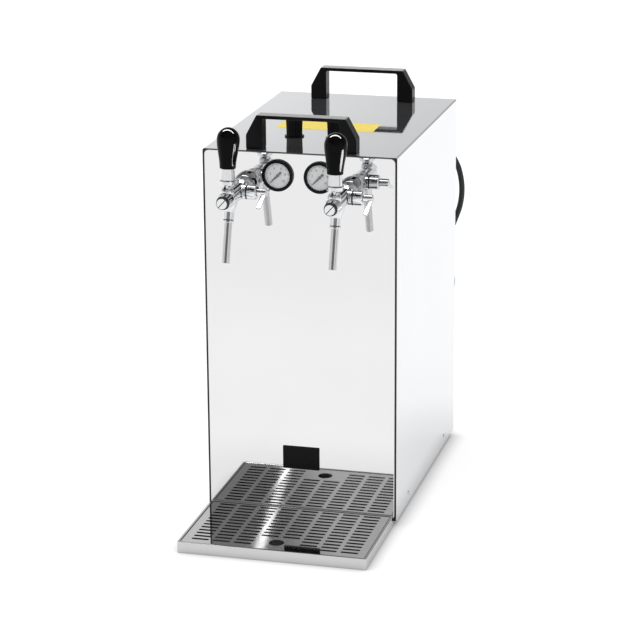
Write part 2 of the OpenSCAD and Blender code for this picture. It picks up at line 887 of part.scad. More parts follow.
module tap_shanks() {
    color(chrome) seated() at_taps() {
        difference() {
            rod_y(shank_d, -tail_u, shank_in);
            rod_y(shank_bore, -tail_u - over, shank_in + over);
        }
        difference() {
            translate([0, sheet_t, 0]) rotate([-90, 0, 0])
                cylinder(d = shank_nut_d, h = shank_nut_h, $fn = 6);
            rod_y(shank_d + 2 * push_fit, 0, sheet_t + shank_nut_h + over);
        }
    }
}

// The dome is a quarter ellipse turned about the tap axis, up to the coupling nut's foot
module tap_rosettes() {
    crown_r = coupling_d / 2 - crown_sink;
    dome = [for (a = [0 : 10 : 90]) [crown_r + (rosette_d / 2 - crown_r) * cos(a), rosette_h * sin(a)]];
    color(chrome) seated() at_taps() rotate([90, 0, 0]) difference() {
        rotate_extrude() polygon(concat([[0, 0]], dome, [[0, rosette_h]]));
        translate([0, 0, -over]) cylinder(d = shank_d + 2 * push_fit, h = rosette_h + 2 * over);
    }
}

module coupling_nuts() {
    edge = 1.5;
    color(chrome) seated() at_taps() rotate([90, 0, 0]) difference() {
        translate([0, 0, rosette_h]) rotate_extrude() polygon([
            [0, 0], [coupling_d / 2 - edge, 0], [coupling_d / 2, edge],
            [coupling_d / 2, coupling_l - edge], [coupling_d / 2 - edge, coupling_l], [0, coupling_l]
        ]);
        cylinder(d = shank_d + 2 * push_fit, h = tail_u + over);
        translate([0, 0, tail_u]) cylinder(d = tail_d + 2 * push_fit, h = coupling_l);
    }
}

module spout_axis() {
    translate([0, -spout_u, 0]) rotate([-spout_lean, 0, 0]) mirror([0, 0, 1]) children();
}

module tap_body(side) {
    neck_u = coupling_u + neck_l;
    shoulder = barrel_d / 2 - tail_d / 2;
    color(chrome) seated() translate([side * tap_spacing / 2, 0, tap_z]) difference() {
        union() {
            rotate([90, 0, 0]) rotate_extrude() polygon([
                [0, tail_u], [tail_d / 2, tail_u], [tail_d / 2, neck_u], [barrel_d / 2, neck_u + shoulder],
                [barrel_d / 2, nose_u - nose_l], [nose_d / 2, nose_u], [0, nose_u]
            ]);
            translate([0, -compensator_u, 0]) rod_x(compensator_d, 0, compensator_reach);
            translate([0, -pivot_u, 0]) cylinder(r = knuckle_r, h = pivot_rise);
            translate([0, -pivot_u, pivot_rise]) sphere(r = knuckle_r);
            spout_axis() cylinder(d = collar_d, h = collar_l);
        }
        rod_y(valve_d + 2 * run_fit, -nose_u - over, valve_back - pivot_u);
        rod_y(passage_d, valve_back - pivot_u - over, over - tail_u);
        translate([0, -compensator_u, 0])
            rod_x(spindle_d + 2 * run_fit, -spindle_in, compensator_reach + over);
        spout_axis() cylinder(d = spout_bore, h = collar_l);
        spout_axis() translate([0, 0, collar_l - spout_in])
            cylinder(d = spout_d + 2 * push_fit, h = spout_in + over);
        translate([-cheek_gap / 2, -pivot_u - cheek_l / 2, 0])
            cube([cheek_gap, cheek_l, pivot_rise + knuckle_r + over]);
        translate([0, -pivot_u, pivot_rise]) rod_x(pin_d + 2 * run_fit, -knuckle_r - over, knuckle_r + over);
    }
}

module left_tap_body() {
    tap_body(LEFT);
}

module right_tap_body() {
    tap_body(RIGHT);
}

module tap_front_plugs() {
    color(chrome) seated() at_taps() difference() {
        union() {
            rod_y(plug_d, -nose_u - plug_l, -nose_u);
            rod_y(valve_d, -nose_u, plug_stem_l - nose_u);
        }
        rotate([0, -plug_slot_turn, 0])
            translate([-plug_d / 2 - over, -nose_u - plug_l - over, -plug_slot / 2])
                cube([plug_d + 2 * over, plug_slot + over, plug_slot]);
    }
}

module spouts() {
    color(chrome) seated() at_taps() spout_axis() translate([0, 0, collar_l - spout_in]) difference() {
        cylinder(d = spout_d, h = spout_l - collar_l + spout_in);
        translate([0, 0, -over]) cylinder(d = spout_bore, h = spout_l - collar_l + spout_in + 2 * over);
    }
}

module plunger(side) {
    pocket = ball_d + 2 * pocket_play;
    color(brass) seated() translate([side * tap_spacing / 2, -pivot_u, tap_z]) difference() {
        rod_y(valve_d, plug_stem_l + plunger_room + pivot_u - nose_u, plunger_back);
        translate([-pocket / 2 - pocket_side, -pocket / 2, -ball_d / 2 - pocket_floor])
            cube([pocket + 2 * pocket_side, pocket, valve_d]);
        translate([-valve_d / 2, -arm_sweep, pocket_top]) cube([valve_d, 2 * arm_sweep, valve_d]);
    }
}

module left_plunger() {
    plunger(LEFT);
}

module right_plunger() {
    plunger(RIGHT);
}

module flow_lever(side) {
    hub_x = compensator_reach + slip;
    color(chrome) seated() translate([side * tap_spacing / 2, -compensator_u, tap_z]) difference() {
        union() {
            rod_x(spindle_d, slip - spindle_in, hub_x + over);
            rod_x(lever_hub_d, hub_x, hub_x + lever_hub_l);
            rotate([lever_dip, 0, 0]) translate([hub_x + lever_hub_l - lever_w / 2, 0, -lever_t / 2]) {
                translate([-lever_w / 2, lever_w / 2 - lever_l, 0])
                    cube([lever_w, lever_l - lever_w / 2, lever_t]);
                translate([0, lever_w / 2 - lever_l, 0]) cylinder(d = lever_w, h = lever_t);
            }
        }
        rod_y(spindle_d - 2 * spindle_web, -spindle_d, spindle_d);
    }
}

module left_flow_lever() {
    flow_lever(LEFT);
}

module right_flow_lever() {
    flow_lever(RIGHT);
}

module at_pivot(side) {
    translate([side * tap_spacing / 2, -pivot_u, tap_z + pivot_rise]) children();
}

// The stem leans back with the grip, and its arm hangs straight down to the plunger
module handle_stem(side) {
    pin_l = 2 * (knuckle_r - pin_sink);
    hub_w = cheek_gap - 2 * slip;
    color(chrome) seated() at_pivot(side) union() {
        rod_x(pin_d, -pin_l / 2, pin_l / 2);
        rod_x(hub_d, -hub_w / 2, hub_w / 2);
        rotate([-handle_lean, 0, 0]) cylinder(d = stem_d, h = hand_z + stem_in);
        translate([0, 0, -pivot_rise]) cylinder(d = arm_d, h = pivot_rise);
        translate([0, 0, -pivot_rise]) sphere(d = ball_d);
    }
}

module left_handle_stem() {
    handle_stem(LEFT);
}

module right_handle_stem() {
    handle_stem(RIGHT);
}

module handle_ferrule(side) {
    edge = 1;
    color(chrome) seated() at_pivot(side) rotate([-handle_lean, 0, 0]) difference() {
        rotate_extrude() polygon([
            [0, ring_z], [ring_d / 2 - edge, ring_z], [ring_d / 2, ring_z + edge],
            [ring_d / 2, ferrule_z - edge], [ring_d / 2 - edge, ferrule_z],
            [ferrule_d / 2 - edge, ferrule_z], [ferrule_d / 2, ferrule_z + edge],
            [ferrule_top_d / 2, hand_z], [0, hand_z]
        ]);
        cylinder(d = stem_d + 2 * push_fit, h = hand_z + over);
    }
}

module left_handle_ferrule() {
    handle_ferrule(LEFT);
}

module right_handle_ferrule() {
    handle_ferrule(RIGHT);
}

// The grip swells in a half wave from its foot to its widest place, then rounds off
module handle_grip(side) {
    swell = [
        for (t = [0 : 0.125 : 1])
            [hand_foot_d / 2 + (hand_d - hand_foot_d) / 2 * ramp(t), hand_wide_h * t]
    ];
    crown = [
        for (a = [10 : 10 : 80])
            [hand_d / 2 * cos(a), hand_wide_h + (hand_l - hand_wide_h) * sin(a)]
    ];
    color(black) seated() at_pivot(side) rotate([-handle_lean, 0, 0]) difference() {
        translate([0, 0, hand_z]) rotate_extrude() polygon(concat([[0, 0]], swell, crown, [[0, hand_l]]));
        cylinder(d = stem_d + 2 * push_fit, h = hand_z + stem_in + slip);
    }
}

module left_handle_grip() {
    handle_grip(LEFT);
}

module right_handle_grip() {
    handle_grip(RIGHT);
}

module gauge_cases() {
    color(black) seated() at_gauges() rotate([90, 0, 0]) difference() {
        rotate_extrude() polygon([
            [0, -gauge_depth - gauge_boss_l], [gauge_boss_d / 2, -gauge_depth - gauge_boss_l],
            [gauge_boss_d / 2, -gauge_depth], [gauge_case_d / 2, -gauge_depth], [gauge_case_d / 2, 0],
            [gauge_d / 2, 0], [gauge_d / 2, bezel_h - gauge_edge], [gauge_d / 2 - gauge_edge, bezel_h],
            [dial_d / 2 + push_fit, bezel_h], [dial_d / 2 + push_fit, dial_seat], [0, dial_seat]
        ]);
        translate([0, 0, dial_seat - staff_in]) cylinder(d = staff_d + 2 * run_fit, h = staff_in + over);
    }
}

module gauge_dials() {
    color(pale) seated() at_gauges() rotate([90, 0, 0]) difference() {
        translate([0, 0, dial_seat]) cylinder(d = dial_d, h = dial_t);
        cylinder(d = staff_d + 2 * run_fit, h = bezel_h);
    }
}

module gauge_glasses() {
    color([0.9, 0.95, 1, 0.3]) seated() at_gauges() rotate([90, 0, 0]) translate([0, 0, glass_u])
        cylinder(d = dial_d, h = glass_t);
}

// The pointer rests on zero at the lower left
module gauge_needle(side) {
    foot_u = dial_seat + dial_t + slip;
    color(black) seated() translate([side * gauge_spacing / 2, 0, gauge_z]) rotate([90, 0, 0]) union() {
        translate([0, 0, dial_seat - staff_in + slip]) cylinder(d = staff_d, h = staff_in + dial_t + slip);
        translate([0, 0, foot_u]) cylinder(d = needle_hub_d, h = glass_u - slip - foot_u);
        translate([0, 0, foot_u + slip]) rotate([0, 0, 180 + needle_zero])
            translate([-needle_tail, -needle_w / 2, 0]) cube([needle_tail + needle_l, needle_w, needle_t]);
    }
}

module left_gauge_needle() {
    gauge_needle(LEFT);
}

module right_gauge_needle() {
    gauge_needle(RIGHT);
}

module regulators() {
    color(brass) seated() for (side = [LEFT, RIGHT])
        translate([knob_x(side), knob_setback, 0]) difference() {
            union() {
                translate([0, 0, regulator_z]) cylinder(d = regulator_d, h = regulator_h);
                translate([0, 0, regulator_z])
                    cylinder(d = bushing_d, h = regulator_h + sheet_t + knob_nut_h);
                translate([0, 0, gas_stub_z])
                    rod_y(gas_tube_d, -regulator_d / 2 - gas_stub_l, regulator_d / 2 + gas_stub_l);
                translate([0, 0, gas_stub_z]) mirror([side > 0 ? 1 : 0, 0, 0])
                    rod_x(gas_tube_d, 0, regulator_d / 2 + tee_stub_l);
            }
            translate([0, 0, top_z + knob_nut_h - knob_spindle_l])
                cylinder(d = knob_spindle_d + 2 * run_fit, h = knob_spindle_l + over);
        }
}

module regulator_nuts() {
    color(black) seated() at_regulators() translate([0, 0, top_z]) difference() {
        cylinder(d = knob_nut_d, h = knob_nut_h);
        translate([0, 0, -over]) cylinder(d = bushing_d + 2 * push_fit, h = knob_nut_h + 2 * over);
    }
}

module regulator_knob(side) {
    edge = 1;
    foot_z = top_z + knob_nut_h + slip;
    color(black) seated() translate([knob_x(side), knob_setback, foot_z]) union() {
        rotate_extrude() polygon([
            [0, 0], [(knob_d - knob_taper) / 2, 0], [knob_d / 2, knob_h - edge],
            [knob_d / 2 - edge, knob_h], [0, knob_h]
        ]);
        translate([0, 0, 2 * slip - knob_spindle_l]) cylinder(d = knob_spindle_d, h = knob_spindle_l);
    }
}

module left_regulator_knob() {
    regulator_knob(LEFT);
}

module right_regulator_knob() {
    regulator_knob(RIGHT);
}

// Ports of the cooling block: two beer stubs a side on top, two refrigerant stubs at the rear
module block_stubs(play) {
    for (x = [-stub_x, stub_x], y = [beer_out_y, beer_in_y])
        translate([x, y, block_z + block_h - stub_rise])
            cylinder(d = beer_tube_d + 2 * play, h = foam_t + 2 * stub_rise);
    for (x = [-evaporator_x, evaporator_x])
        translate([x, block_y + block_d, evaporator_z])
            rod_y(line_d + 2 * play, -stub_rise, foam_t + stub_rise);
}

module cooling_block() {
    color(chrome) seated() union() {
        translate([-block_w / 2, block_y, block_z]) cube([block_w, block_d, block_h]);
        block_stubs(0);
    }
}

module block_foam() {
    color(pale) seated() difference() {
        translate([-block_w / 2 - foam_t, foam_setback, floor_z])
            cube([block_w + 2 * foam_t, block_d + 2 * foam_t, block_h + 2 * foam_t]);
        translate([-block_w / 2, block_y, block_z]) cube([block_w, block_d, block_h]);
        block_stubs(push_fit);
    }
}

module at_grommets() {
    for (x = [-1, 1], y = [-1, 1])
        translate([
            compressor_x + x * (shell_plate_w / 2 - grommet_inset),
            shell_y + y * (shell_plate_l / 2 - grommet_inset),
            floor_z
        ]) children();
}

module compressor() {
    shell_r = compressor_d / 2;
    color(black) seated() translate([compressor_x, shell_y, 0]) union() {
        translate([-shell_plate_w / 2, -shell_plate_l / 2, shell_z - shell_plate_t])
            cube([shell_plate_w, shell_plate_l, shell_plate_t]);
        translate([0, 0, shell_z]) rotate_extrude() polygon([
            [0, 0], [shell_r - shell_foot_chamfer, 0], [shell_r, shell_foot_chamfer],
            [shell_r, compressor_h - shell_dome_h], [shell_crown_r, compressor_h], [0, compressor_h]
        ]);
        for (x = [-shell_port_x, shell_port_x])
            translate([x, 0, shell_z + compressor_h - shell_dome_h])
                cylinder(d = line_d, h = shell_dome_h + stub_rise);
    }
}

module compressor_grommets() {
    color(black) seated() at_grommets() cylinder(d = grommet_d, h = grommet_h);
}

module condenser() {
    mid = condenser_t / 2;
    fins = floor(condenser_w / fin_pitch);
    color(chrome) seated() translate([0, condenser_y, condenser_z]) difference() {
        union() {
            translate([-condenser_w / 2, 0, 0]) cube([condenser_w, condenser_t, condenser_h]);
            for (x = [-condenser_w / 2 - end_plate_t, condenser_w / 2])
                translate([x, 0, -condenser_rise])
                    cube([end_plate_t, condenser_t, condenser_rise + condenser_h]);
            for (z = [condenser_stub_inset, condenser_h - condenser_stub_inset])
                translate([0, mid, z])
                    rod_x(line_d, -condenser_w / 2 - end_plate_t - condenser_stub_l, -condenser_w / 2);
        }
        for (i = [0 : fins - 1])
            translate([(i - (fins - 1) / 2) * fin_pitch - fin_gap / 2, condenser_t - fin_depth, -over])
                cube([fin_gap, fin_depth + over, condenser_h + 2 * over]);
    }
}

module fan_shroud() {
    ring_d_in = fan_d + 2 * tip_gap;
    ring_d_out = ring_d_in + 2 * ring_wall;
    color(black) seated() translate([0, condenser_y, fan_z]) difference() {
        union() {
            translate([-condenser_w / 2, -shroud_t, -condenser_h / 2])
                cube([condenser_w, shroud_t, condenser_h]);
            rod_y(ring_d_out, -shroud_l, 0);
            translate([-ring_d_out / 2, -shroud_l - arm_t, -arm_w / 2]) cube([ring_d_out, arm_t, arm_w]);
            translate([-arm_w / 2, -shroud_l - arm_t, -ring_d_out / 2]) cube([arm_w, arm_t, ring_d_out]);
            rod_y(motor_d, -shroud_l - arm_t, -shroud_l);
        }
        rod_y(ring_d_in, -shroud_l, over);
        rod_y(fan_shaft_d + 2 * fan_shaft_play, -shroud_l - arm_t - over, over);
    }
}

module fan_motor() {
    color(chrome) seated() translate([0, arm_y, fan_z]) difference() {
        rod_y(motor_d, -motor_l, 0);
        rod_y(fan_shaft_d + 2 * run_fit, -fan_shaft_in - slip, over);
    }
}

module fan_blade() {
    color(pale) seated() translate([0, fan_hub_y, fan_z]) union() {
        rod_y(fan_hub_d, 0, fan_hub_l);
        rod_y(fan_shaft_d, arm_y - fan_hub_y - fan_shaft_in, fan_hub_l);
        intersection() {
            rod_y(fan_d, -fan_hub_l, 2 * fan_hub_l);
            for (i = [0 : fan_blades - 1])
                rotate([0, 360 * i / fan_blades, 0]) translate([0, fan_hub_l / 2, fan_hub_d / 2 - blade_root])
                    rotate([0, 0, blade_pitch]) translate([-blade_chord / 2, -blade_t / 2, 0])
                        cube([blade_chord, blade_t, fan_d / 2]);
        }
    }
}

module filter_drier() {
    color(copper) seated() translate([drier_x, shell_y, drier_z]) rotate_extrude() polygon([
        [0, 0], [line_d / 2, 0], [drier_d / 2, drier_cone], [drier_d / 2, drier_l - drier_cone],
        [line_d / 2, drier_l], [0, drier_l]
    ]);
}

// Discharge, liquid, capillary and suction lines of the sealed cooling circuit
module refrigerant_lines() {
    inlet = [-condenser_w / 2 - end_plate_t - condenser_stub_l, condenser_y + condenser_t / 2,
        condenser_z + condenser_h - condenser_stub_inset];
    outlet = [inlet.x, inlet.y, condenser_z + condenser_stub_inset];
    hot = [compressor_x - shell_port_x, shell_y, shell_port_z];
    cold = [compressor_x + shell_port_x, shell_y, shell_port_z];
    drier_foot = [drier_x, shell_y, drier_z];
    drier_head = [drier_x, shell_y, drier_z + drier_l];
    evaporator_y = foam_setback + block_d + 2 * foam_t + stub_rise;
    feed = [-evaporator_x, evaporator_y, evaporator_z];
    back = [evaporator_x, evaporator_y, evaporator_z];
    color(copper) seated() {
        bent_line([
            hot, hot + [0, 0, 14], hot + [-14, 2, 42], hot + [-60, 6, 64],
            [drier_x + 6, shell_y + 18, hot.z + 90],
            [line_out_x + 4, shell_y + 50, hot.z + 140], [line_out_x, inlet.y - 22, inlet.z - 30],
            [line_out_x + 3, inlet.y - 3, inlet.z - 6], inlet - [9, 0, 0], inlet
        ], line_d);
        bent_line([
            outlet, outlet - [8, 0, 0], [line_out_x + 2, outlet.y - 6, outlet.z - 8],
            [line_out_x, outlet.y - 26, outlet.z - 60], drier_foot + [-24, 50, 10],
            drier_foot + [-14, 22, -34], drier_foot + [-3, 3, -36], drier_foot - [0, 0, 16], drier_foot
        ], line_d);
        bent_line([
            drier_head, drier_head + [0, 0, 14], drier_head + [6, -14, 40], feed + [-36, 44, 4],
            feed + [-6, 26, 1], feed + [0, 12, 0], feed
        ], capillary_d);
        bent_line([
            back, back + [0, 12, 0], back + [6, 32, -1],
            [(back.x + cold.x) / 2 + 5, cold.y - 24, back.z - 14],
            cold + [-1, -3, 38], cold + [0, 0, 18], cold
        ], line_d);
    }
}

// Each tap has one line from the block to its shank and one from the rear inlet to the block
module beer_lines() {
    color(pale) seated() for (side = [LEFT, RIGHT]) {
        shank = [side * tap_spacing / 2, shank_in, tap_z];
        block_out = [side * stub_x, beer_out_y, foam_top + stub_rise];
        block_in = [side * stub_x, beer_in_y, foam_top + stub_rise];
        inlet = [side * beer_port_x, casing_d - port_tail_l, beer_port_z];
        bent_line([
            shank, shank + [0, 15, 0], shank + [0, 40, -16], [shank.x, beer_out_y, shank.z - 62],
            block_out + [0, 0, 60], block_out + [0, 0, 25], block_out
        ], beer_tube_d);
        bent_line([
            block_in, block_in + [0, 0, 25], block_in + [0, 8, 60], [inlet.x, beer_in_y + 70, inlet.z - 14],
            inlet - [0, 90, 0], inlet - [0, 25, 0], inlet
        ], beer_tube_d);
    }
}

// Supply through a tee to both regulators, a line to each gauge and an outlet line to the rear
module gas_lines() {
    tee_back = [-knob_shift, knob_setback + tee_t / 2, gas_stub_z];
    supply = [0, casing_d - port_tail_l, gas_port_z];
    reach = regulator_d / 2 + gas_stub_l;
    color(black) seated() {
        translate([-knob_shift - tee_w / 2, knob_setback - tee_t / 2, gas_stub_z - tee_t / 2])
            cube([tee_w, tee_t, tee_t]);
        bent_line([
            tee_back, tee_back + [0, 30, 0], (tee_back + supply) / 2, supply - [0, 30, 0], supply
        ], gas_tube_d);
        for (side = [LEFT, RIGHT]) {
            regulator = [knob_x(side), knob_setback, gas_stub_z];
            gauge = [side * gauge_spacing / 2, gauge_depth + gauge_boss_l, gauge_z];
            outlet = [side * gas_port_pitch, supply.y, gas_port_z];
            start = regulator + [0, reach, 0];
            bent_line([
                start, start + [0, 30, 0], (start + outlet) / 2, outlet - [0, 30, 0], outlet
            ], gas_tube_d);
            bent_line([
                gauge, gauge + [0, 12, 0], regulator - [0, reach + 12, 0], regulator - [0, reach, 0]
            ], gauge_line_d);
        }
    }
}

// A push-in fitting through the rear panel, and its nut inside
module rear_port(tube_d) {
    difference() {
        union() {
            rod_y(port_d, 0, port_l);
            rod_y(port_tail_d, -port_tail_l, over);
        }
        rod_y(tube_d + 2 * run_fit, port_l - port_socket, port_l + over);
        rod_y(tube_d - 2 * port_step, -port_tail_l - over, port_l);
    }
    difference() {
        rod_y(port_nut_d, -sheet_t - port_nut_h, -sheet_t);
        rod_y(port_tail_d + 2 * push_fit, -sheet_t - port_nut_h - over, 0);
    }
}

module beer_inlets() {
    color(chrome) seated() at_beer_inlets() rear_port(beer_tube_d);
}

module gas_ports() {
    color(black) seated() at_gas_ports() rear_port(gas_tube_d);
}

module thermostat() {
    color(black) seated() translate([thermostat_x, casing_d, gas_port_z]) difference() {
        union() {
            translate([-thermostat_w / 2, -sheet_t - thermostat_l, -thermostat_w / 2])
                cube([thermostat_w, thermostat_l, thermostat_w]);
            rod_y(thermostat_bush_d, -sheet_t - over, thermostat_bush_l);
        }
        rod_y(dial_shaft_d + 2 * run_fit, -dial_shaft_in - slip, thermostat_bush_l + over);
    }
}

module thermostat_knob() {
    color(black) seated() translate([thermostat_x, casing_d, gas_port_z]) union() {
        rod_y(dial_knob_d, thermostat_bush_l + slip, thermostat_bush_l + dial_knob_h);
        rod_y(dial_shaft_d, -dial_shaft_in, thermostat_bush_l + slip + over);
    }
}

module cable_gland() {
    color(black) seated() translate([gland_x, casing_d, gland_z]) union() {
        rotate([-90, 0, 0]) rotate_extrude() polygon([
            [0, 0], [gland_d / 2, 0], [gland_d / 2, gland_l / 3], [gland_tip_d / 2, gland_l], [0, gland_l]
        ]);
        rod_y(gland_neck_d, -sheet_t - port_nut_h, over);
        rod_y(gland_d, -sheet_t - port_nut_h, -sheet_t);
    }
}

module mains_lead() {
    color(black) seated() swept(smooth_path(lead_route, lead_steps), cord_d, lead_sides);
}

// The loops run in on the floor, climb where the spiral turns, and run out again on top
function coil_point(t) =
    let (
        a = 90 + 360 * t,
        r = coil_r + coil_pitch * abs(t - coil_loops / 2),
        climb = ramp((t - coil_loops / 2 + 0.25) / 0.5),
        lift = ramp((t - coil_loops + 0.25) / 0.25)
    )
    [coil_x + r * cos(a), coil_y + r * sin(a), cord_z + layer_h * climb + (plug_z - cord_z - layer_h) * lift];
coil_path = concat(
    [coil_point(0) + [cord_d, 0, 0]],
    [for (i = [0 : coil_loops * coil_rings]) coil_point(i / coil_rings)],
    [for (l = [coil_tail / 2, coil_tail - cord_d, coil_tail]) coil_point(coil_loops) - [l, 0, 0]]
);
coil_gap = min([
    for (i = [0 : len(coil_path) - 1])
        for (j = [i + coil_rings / 2 : 1 : len(coil_path) - 1])
            norm(coil_path[i] - coil_path[j]) - cord_d
]);
echo(least_gap_in_coil = coil_gap);

module lead_coil() {
    color(black) seated() swept(coil_path, cord_d, coil_sides);
}

module plug() {
    color(black) seated() translate(coil_point(coil_loops) - [coil_tail, 0, 0]) rotate([0, -90, 0]) union() {
        rotate_extrude() polygon([
            [0, 0], [plug_neck_d / 2, 0], [plug_neck_d / 2, plug_neck_l],
            [plug_body_d / 2, plug_neck_l + plug_slope], [plug_body_d / 2, plug_body_l], [0, plug_body_l]
        ]);
        for (y = [-prong_gap / 2, prong_gap / 2])
            translate([0, y, plug_body_l - over]) cylinder(d = prong_d, h = prong_l + over);
    }
}

base_pan();
rubber_feet();
front_panel();
panel_seal();
casing_cover();
rear_panel();
casing_screws();
front_carry_handle();
rear_carry_handle();
handle_screws();
name_plate();
drip_tray();
drip_grid();
tap_shanks();
tap_rosettes();
coupling_nuts();
left_tap_body();
right_tap_body();
tap_front_plugs();
spouts();
left_plunger();
right_plunger();
left_flow_lever();
right_flow_lever();
left_handle_stem();
right_handle_stem();
left_handle_ferrule();
right_handle_ferrule();
left_handle_grip();
right_handle_grip();
gauge_cases();
gauge_dials();
left_gauge_needle();
right_gauge_needle();
gauge_glasses();
regulators();
regulator_nuts();
left_regulator_knob();
right_regulator_knob();
cooling_block();
block_foam();
compressor();
compressor_grommets();
condenser();
fan_shroud();
fan_motor();
fan_blade();
filter_drier();
refrigerant_lines();
beer_lines();
gas_lines();
beer_inlets();
gas_ports();
thermostat();
thermostat_knob();
cable_gland();
mains_lead();
lead_coil();
plug();
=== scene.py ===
import math

import bmesh
import bpy
from mathutils import Matrix, Vector


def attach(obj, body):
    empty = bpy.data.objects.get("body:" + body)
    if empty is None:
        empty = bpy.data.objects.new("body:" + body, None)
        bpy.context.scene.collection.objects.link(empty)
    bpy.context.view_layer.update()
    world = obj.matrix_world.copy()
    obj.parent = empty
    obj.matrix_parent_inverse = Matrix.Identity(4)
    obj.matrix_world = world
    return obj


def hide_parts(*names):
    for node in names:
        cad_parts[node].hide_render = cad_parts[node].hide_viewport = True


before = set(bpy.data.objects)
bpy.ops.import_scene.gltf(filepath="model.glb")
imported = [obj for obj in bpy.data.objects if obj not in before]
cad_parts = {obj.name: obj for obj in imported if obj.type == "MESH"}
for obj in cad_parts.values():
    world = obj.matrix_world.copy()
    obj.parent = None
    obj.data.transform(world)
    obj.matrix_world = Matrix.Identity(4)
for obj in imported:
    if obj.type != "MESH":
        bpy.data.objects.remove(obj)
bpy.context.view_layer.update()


# Camera and studio. A long lens stands to the right of the front and looks a little down. The room is
# white, with darker bands behind the camera, and two soft suns light it. The cards and strips are there to
# be mirrored in the black and bright pieces, and the pale floor takes the shadow under the dispenser. Its
# glow also fades close to the dispenser as a painted contact shadow, and, in mirrors only, around the
# dispenser's footprint and far in front as painted shade.
scene = bpy.context.scene
scene.view_settings.view_transform = "Standard"


def new_object(name, data):
    made = bpy.data.objects.new(name, data)
    scene.collection.objects.link(made)
    return made


camera = new_object("camera", bpy.data.cameras.new("camera"))
camera.data.sensor_width = 36
camera.data.lens = 135.696
scene.camera = camera
camera_at = (0.94637, -3.64289, 1.43148)
camera_turn, camera_fall, camera_tilt = 0.2558, 0.2945, -0.0063
forward = Vector((
    -math.sin(camera_turn) * math.cos(camera_fall),
    math.cos(camera_turn) * math.cos(camera_fall),
    -math.sin(camera_fall),
))
level = forward.cross(Vector((0, 0, 1))).normalized()
upward = level.cross(forward)
picture_right = level * math.cos(camera_tilt) + upward * math.sin(camera_tilt)
picture_up = upward * math.cos(camera_tilt) - level * math.sin(camera_tilt)
camera.matrix_world = Matrix((picture_right, picture_up, -forward)).transposed().to_4x4()
camera.matrix_world.translation = camera_at


def add_node(tree, kind, **presets):
    """A new node with some inputs set; an underscore stands for a space in an input's name."""
    node = tree.nodes.new(kind)
    for name, value in presets.items():
        node.inputs[name.replace("_", " ")].default_value = value
    return node


def wire(tree, *links):
    """Links each node's outlet, or a socket by itself, to another node's inlet."""
    for source, *outlet, target, inlet in links:
        tree.links.new(source.outputs[outlet[0]] if outlet else source, target.inputs[inlet])


def maths(tree, operation, *values):
    """The result of one operation on sockets and plain numbers."""
    node = add_node(tree, "ShaderNodeMath")
    node.operation = operation
    for socket, value in zip(node.inputs, values):
        if isinstance(value, (int, float)):
            socket.default_value = value
        else:
            tree.links.new(value, socket)
    return node.outputs[0]


def product(tree, first, *others):
    for other in others:
        first = maths(tree, "MULTIPLY", first, other)
    return first


def graded(tree, value, from_low, from_high, to_low, to_high):
    """Takes a value from one range to another, softly at both ends."""
    node = add_node(
        tree, "ShaderNodeMapRange", From_Min=from_low, From_Max=from_high, To_Min=to_low, To_Max=to_high
    )
    node.interpolation_type = "SMOOTHSTEP"
    wire(tree, (value, node, "Value"))
    return node.outputs["Result"]


room = bpy.data.worlds.new("studio_room")
scene.world = room
room.use_nodes = True
tree = room.node_tree
tree.nodes.clear()
heading = add_node(tree, "ShaderNodeSeparateXYZ")
wire(tree, (add_node(tree, "ShaderNodeTexCoord"), "Generated", heading, 0))
across, ahead, height = (heading.outputs[axis] for axis in "XYZ")
level_reach = maths(tree, "SQRT", maths(tree, "SUBTRACT", 1.0, product(tree, height, height)))
sideways = maths(tree, "DIVIDE", across, level_reach)
back_wall = product(
    tree, graded(tree, height, 0.17, 0.28, 0.92, 0.6), graded(tree, across, -0.3, -0.18, 1.05, 0.84),
    graded(tree, across, 0.02, 0.22, 1.0, 0.6),
)
back_wall = maths(tree, "ADD", back_wall, graded(tree, height, 0.42, 0.6, 0.0, -0.1))
left_band = maths(
    tree, "ADD", graded(tree, height, 0.3, 0.34, 1.0, 0.0), graded(tree, sideways, -0.275, -0.243, 0.4, 1.0)
)
front_wall = product(
    tree, graded(tree, height, 0.29, 0.36, 0.95, 0.56), graded(tree, height, 0.42, 0.6, 1.0, 0.75), left_band
)
front_wall = maths(tree, "MINIMUM", front_wall, 0.95)
to_dark = maths(tree, "ADD", product(tree, across, 0.13), product(tree, ahead, -0.991))
in_dark = product(
    tree, graded(tree, maths(tree, "DIVIDE", to_dark, level_reach), 0.78, 0.84, 0.0, 0.77),
    graded(tree, height, 0.19, 0.24, 0.0, 1.0), graded(tree, height, 0.3, 0.34, 1.0, 0.0),
)
front_wall = product(tree, front_wall, maths(tree, "SUBTRACT", 1.0, in_dark))
to_back = graded(tree, ahead, -0.2, 0.1, 0.0, 1.0)
walls = maths(
    tree, "ADD", product(tree, back_wall, to_back),
    product(tree, front_wall, maths(tree, "SUBTRACT", 1.0, to_back)),
)
seen = maths(tree, "MAXIMUM", walls, add_node(tree, "ShaderNodeLightPath").outputs["Is Camera Ray"])
backdrop = add_node(tree, "ShaderNodeBackground")
wire(tree, (seen, backdrop, "Color"), (backdrop, 0, add_node(tree, "ShaderNodeOutputWorld"), "Surface"))

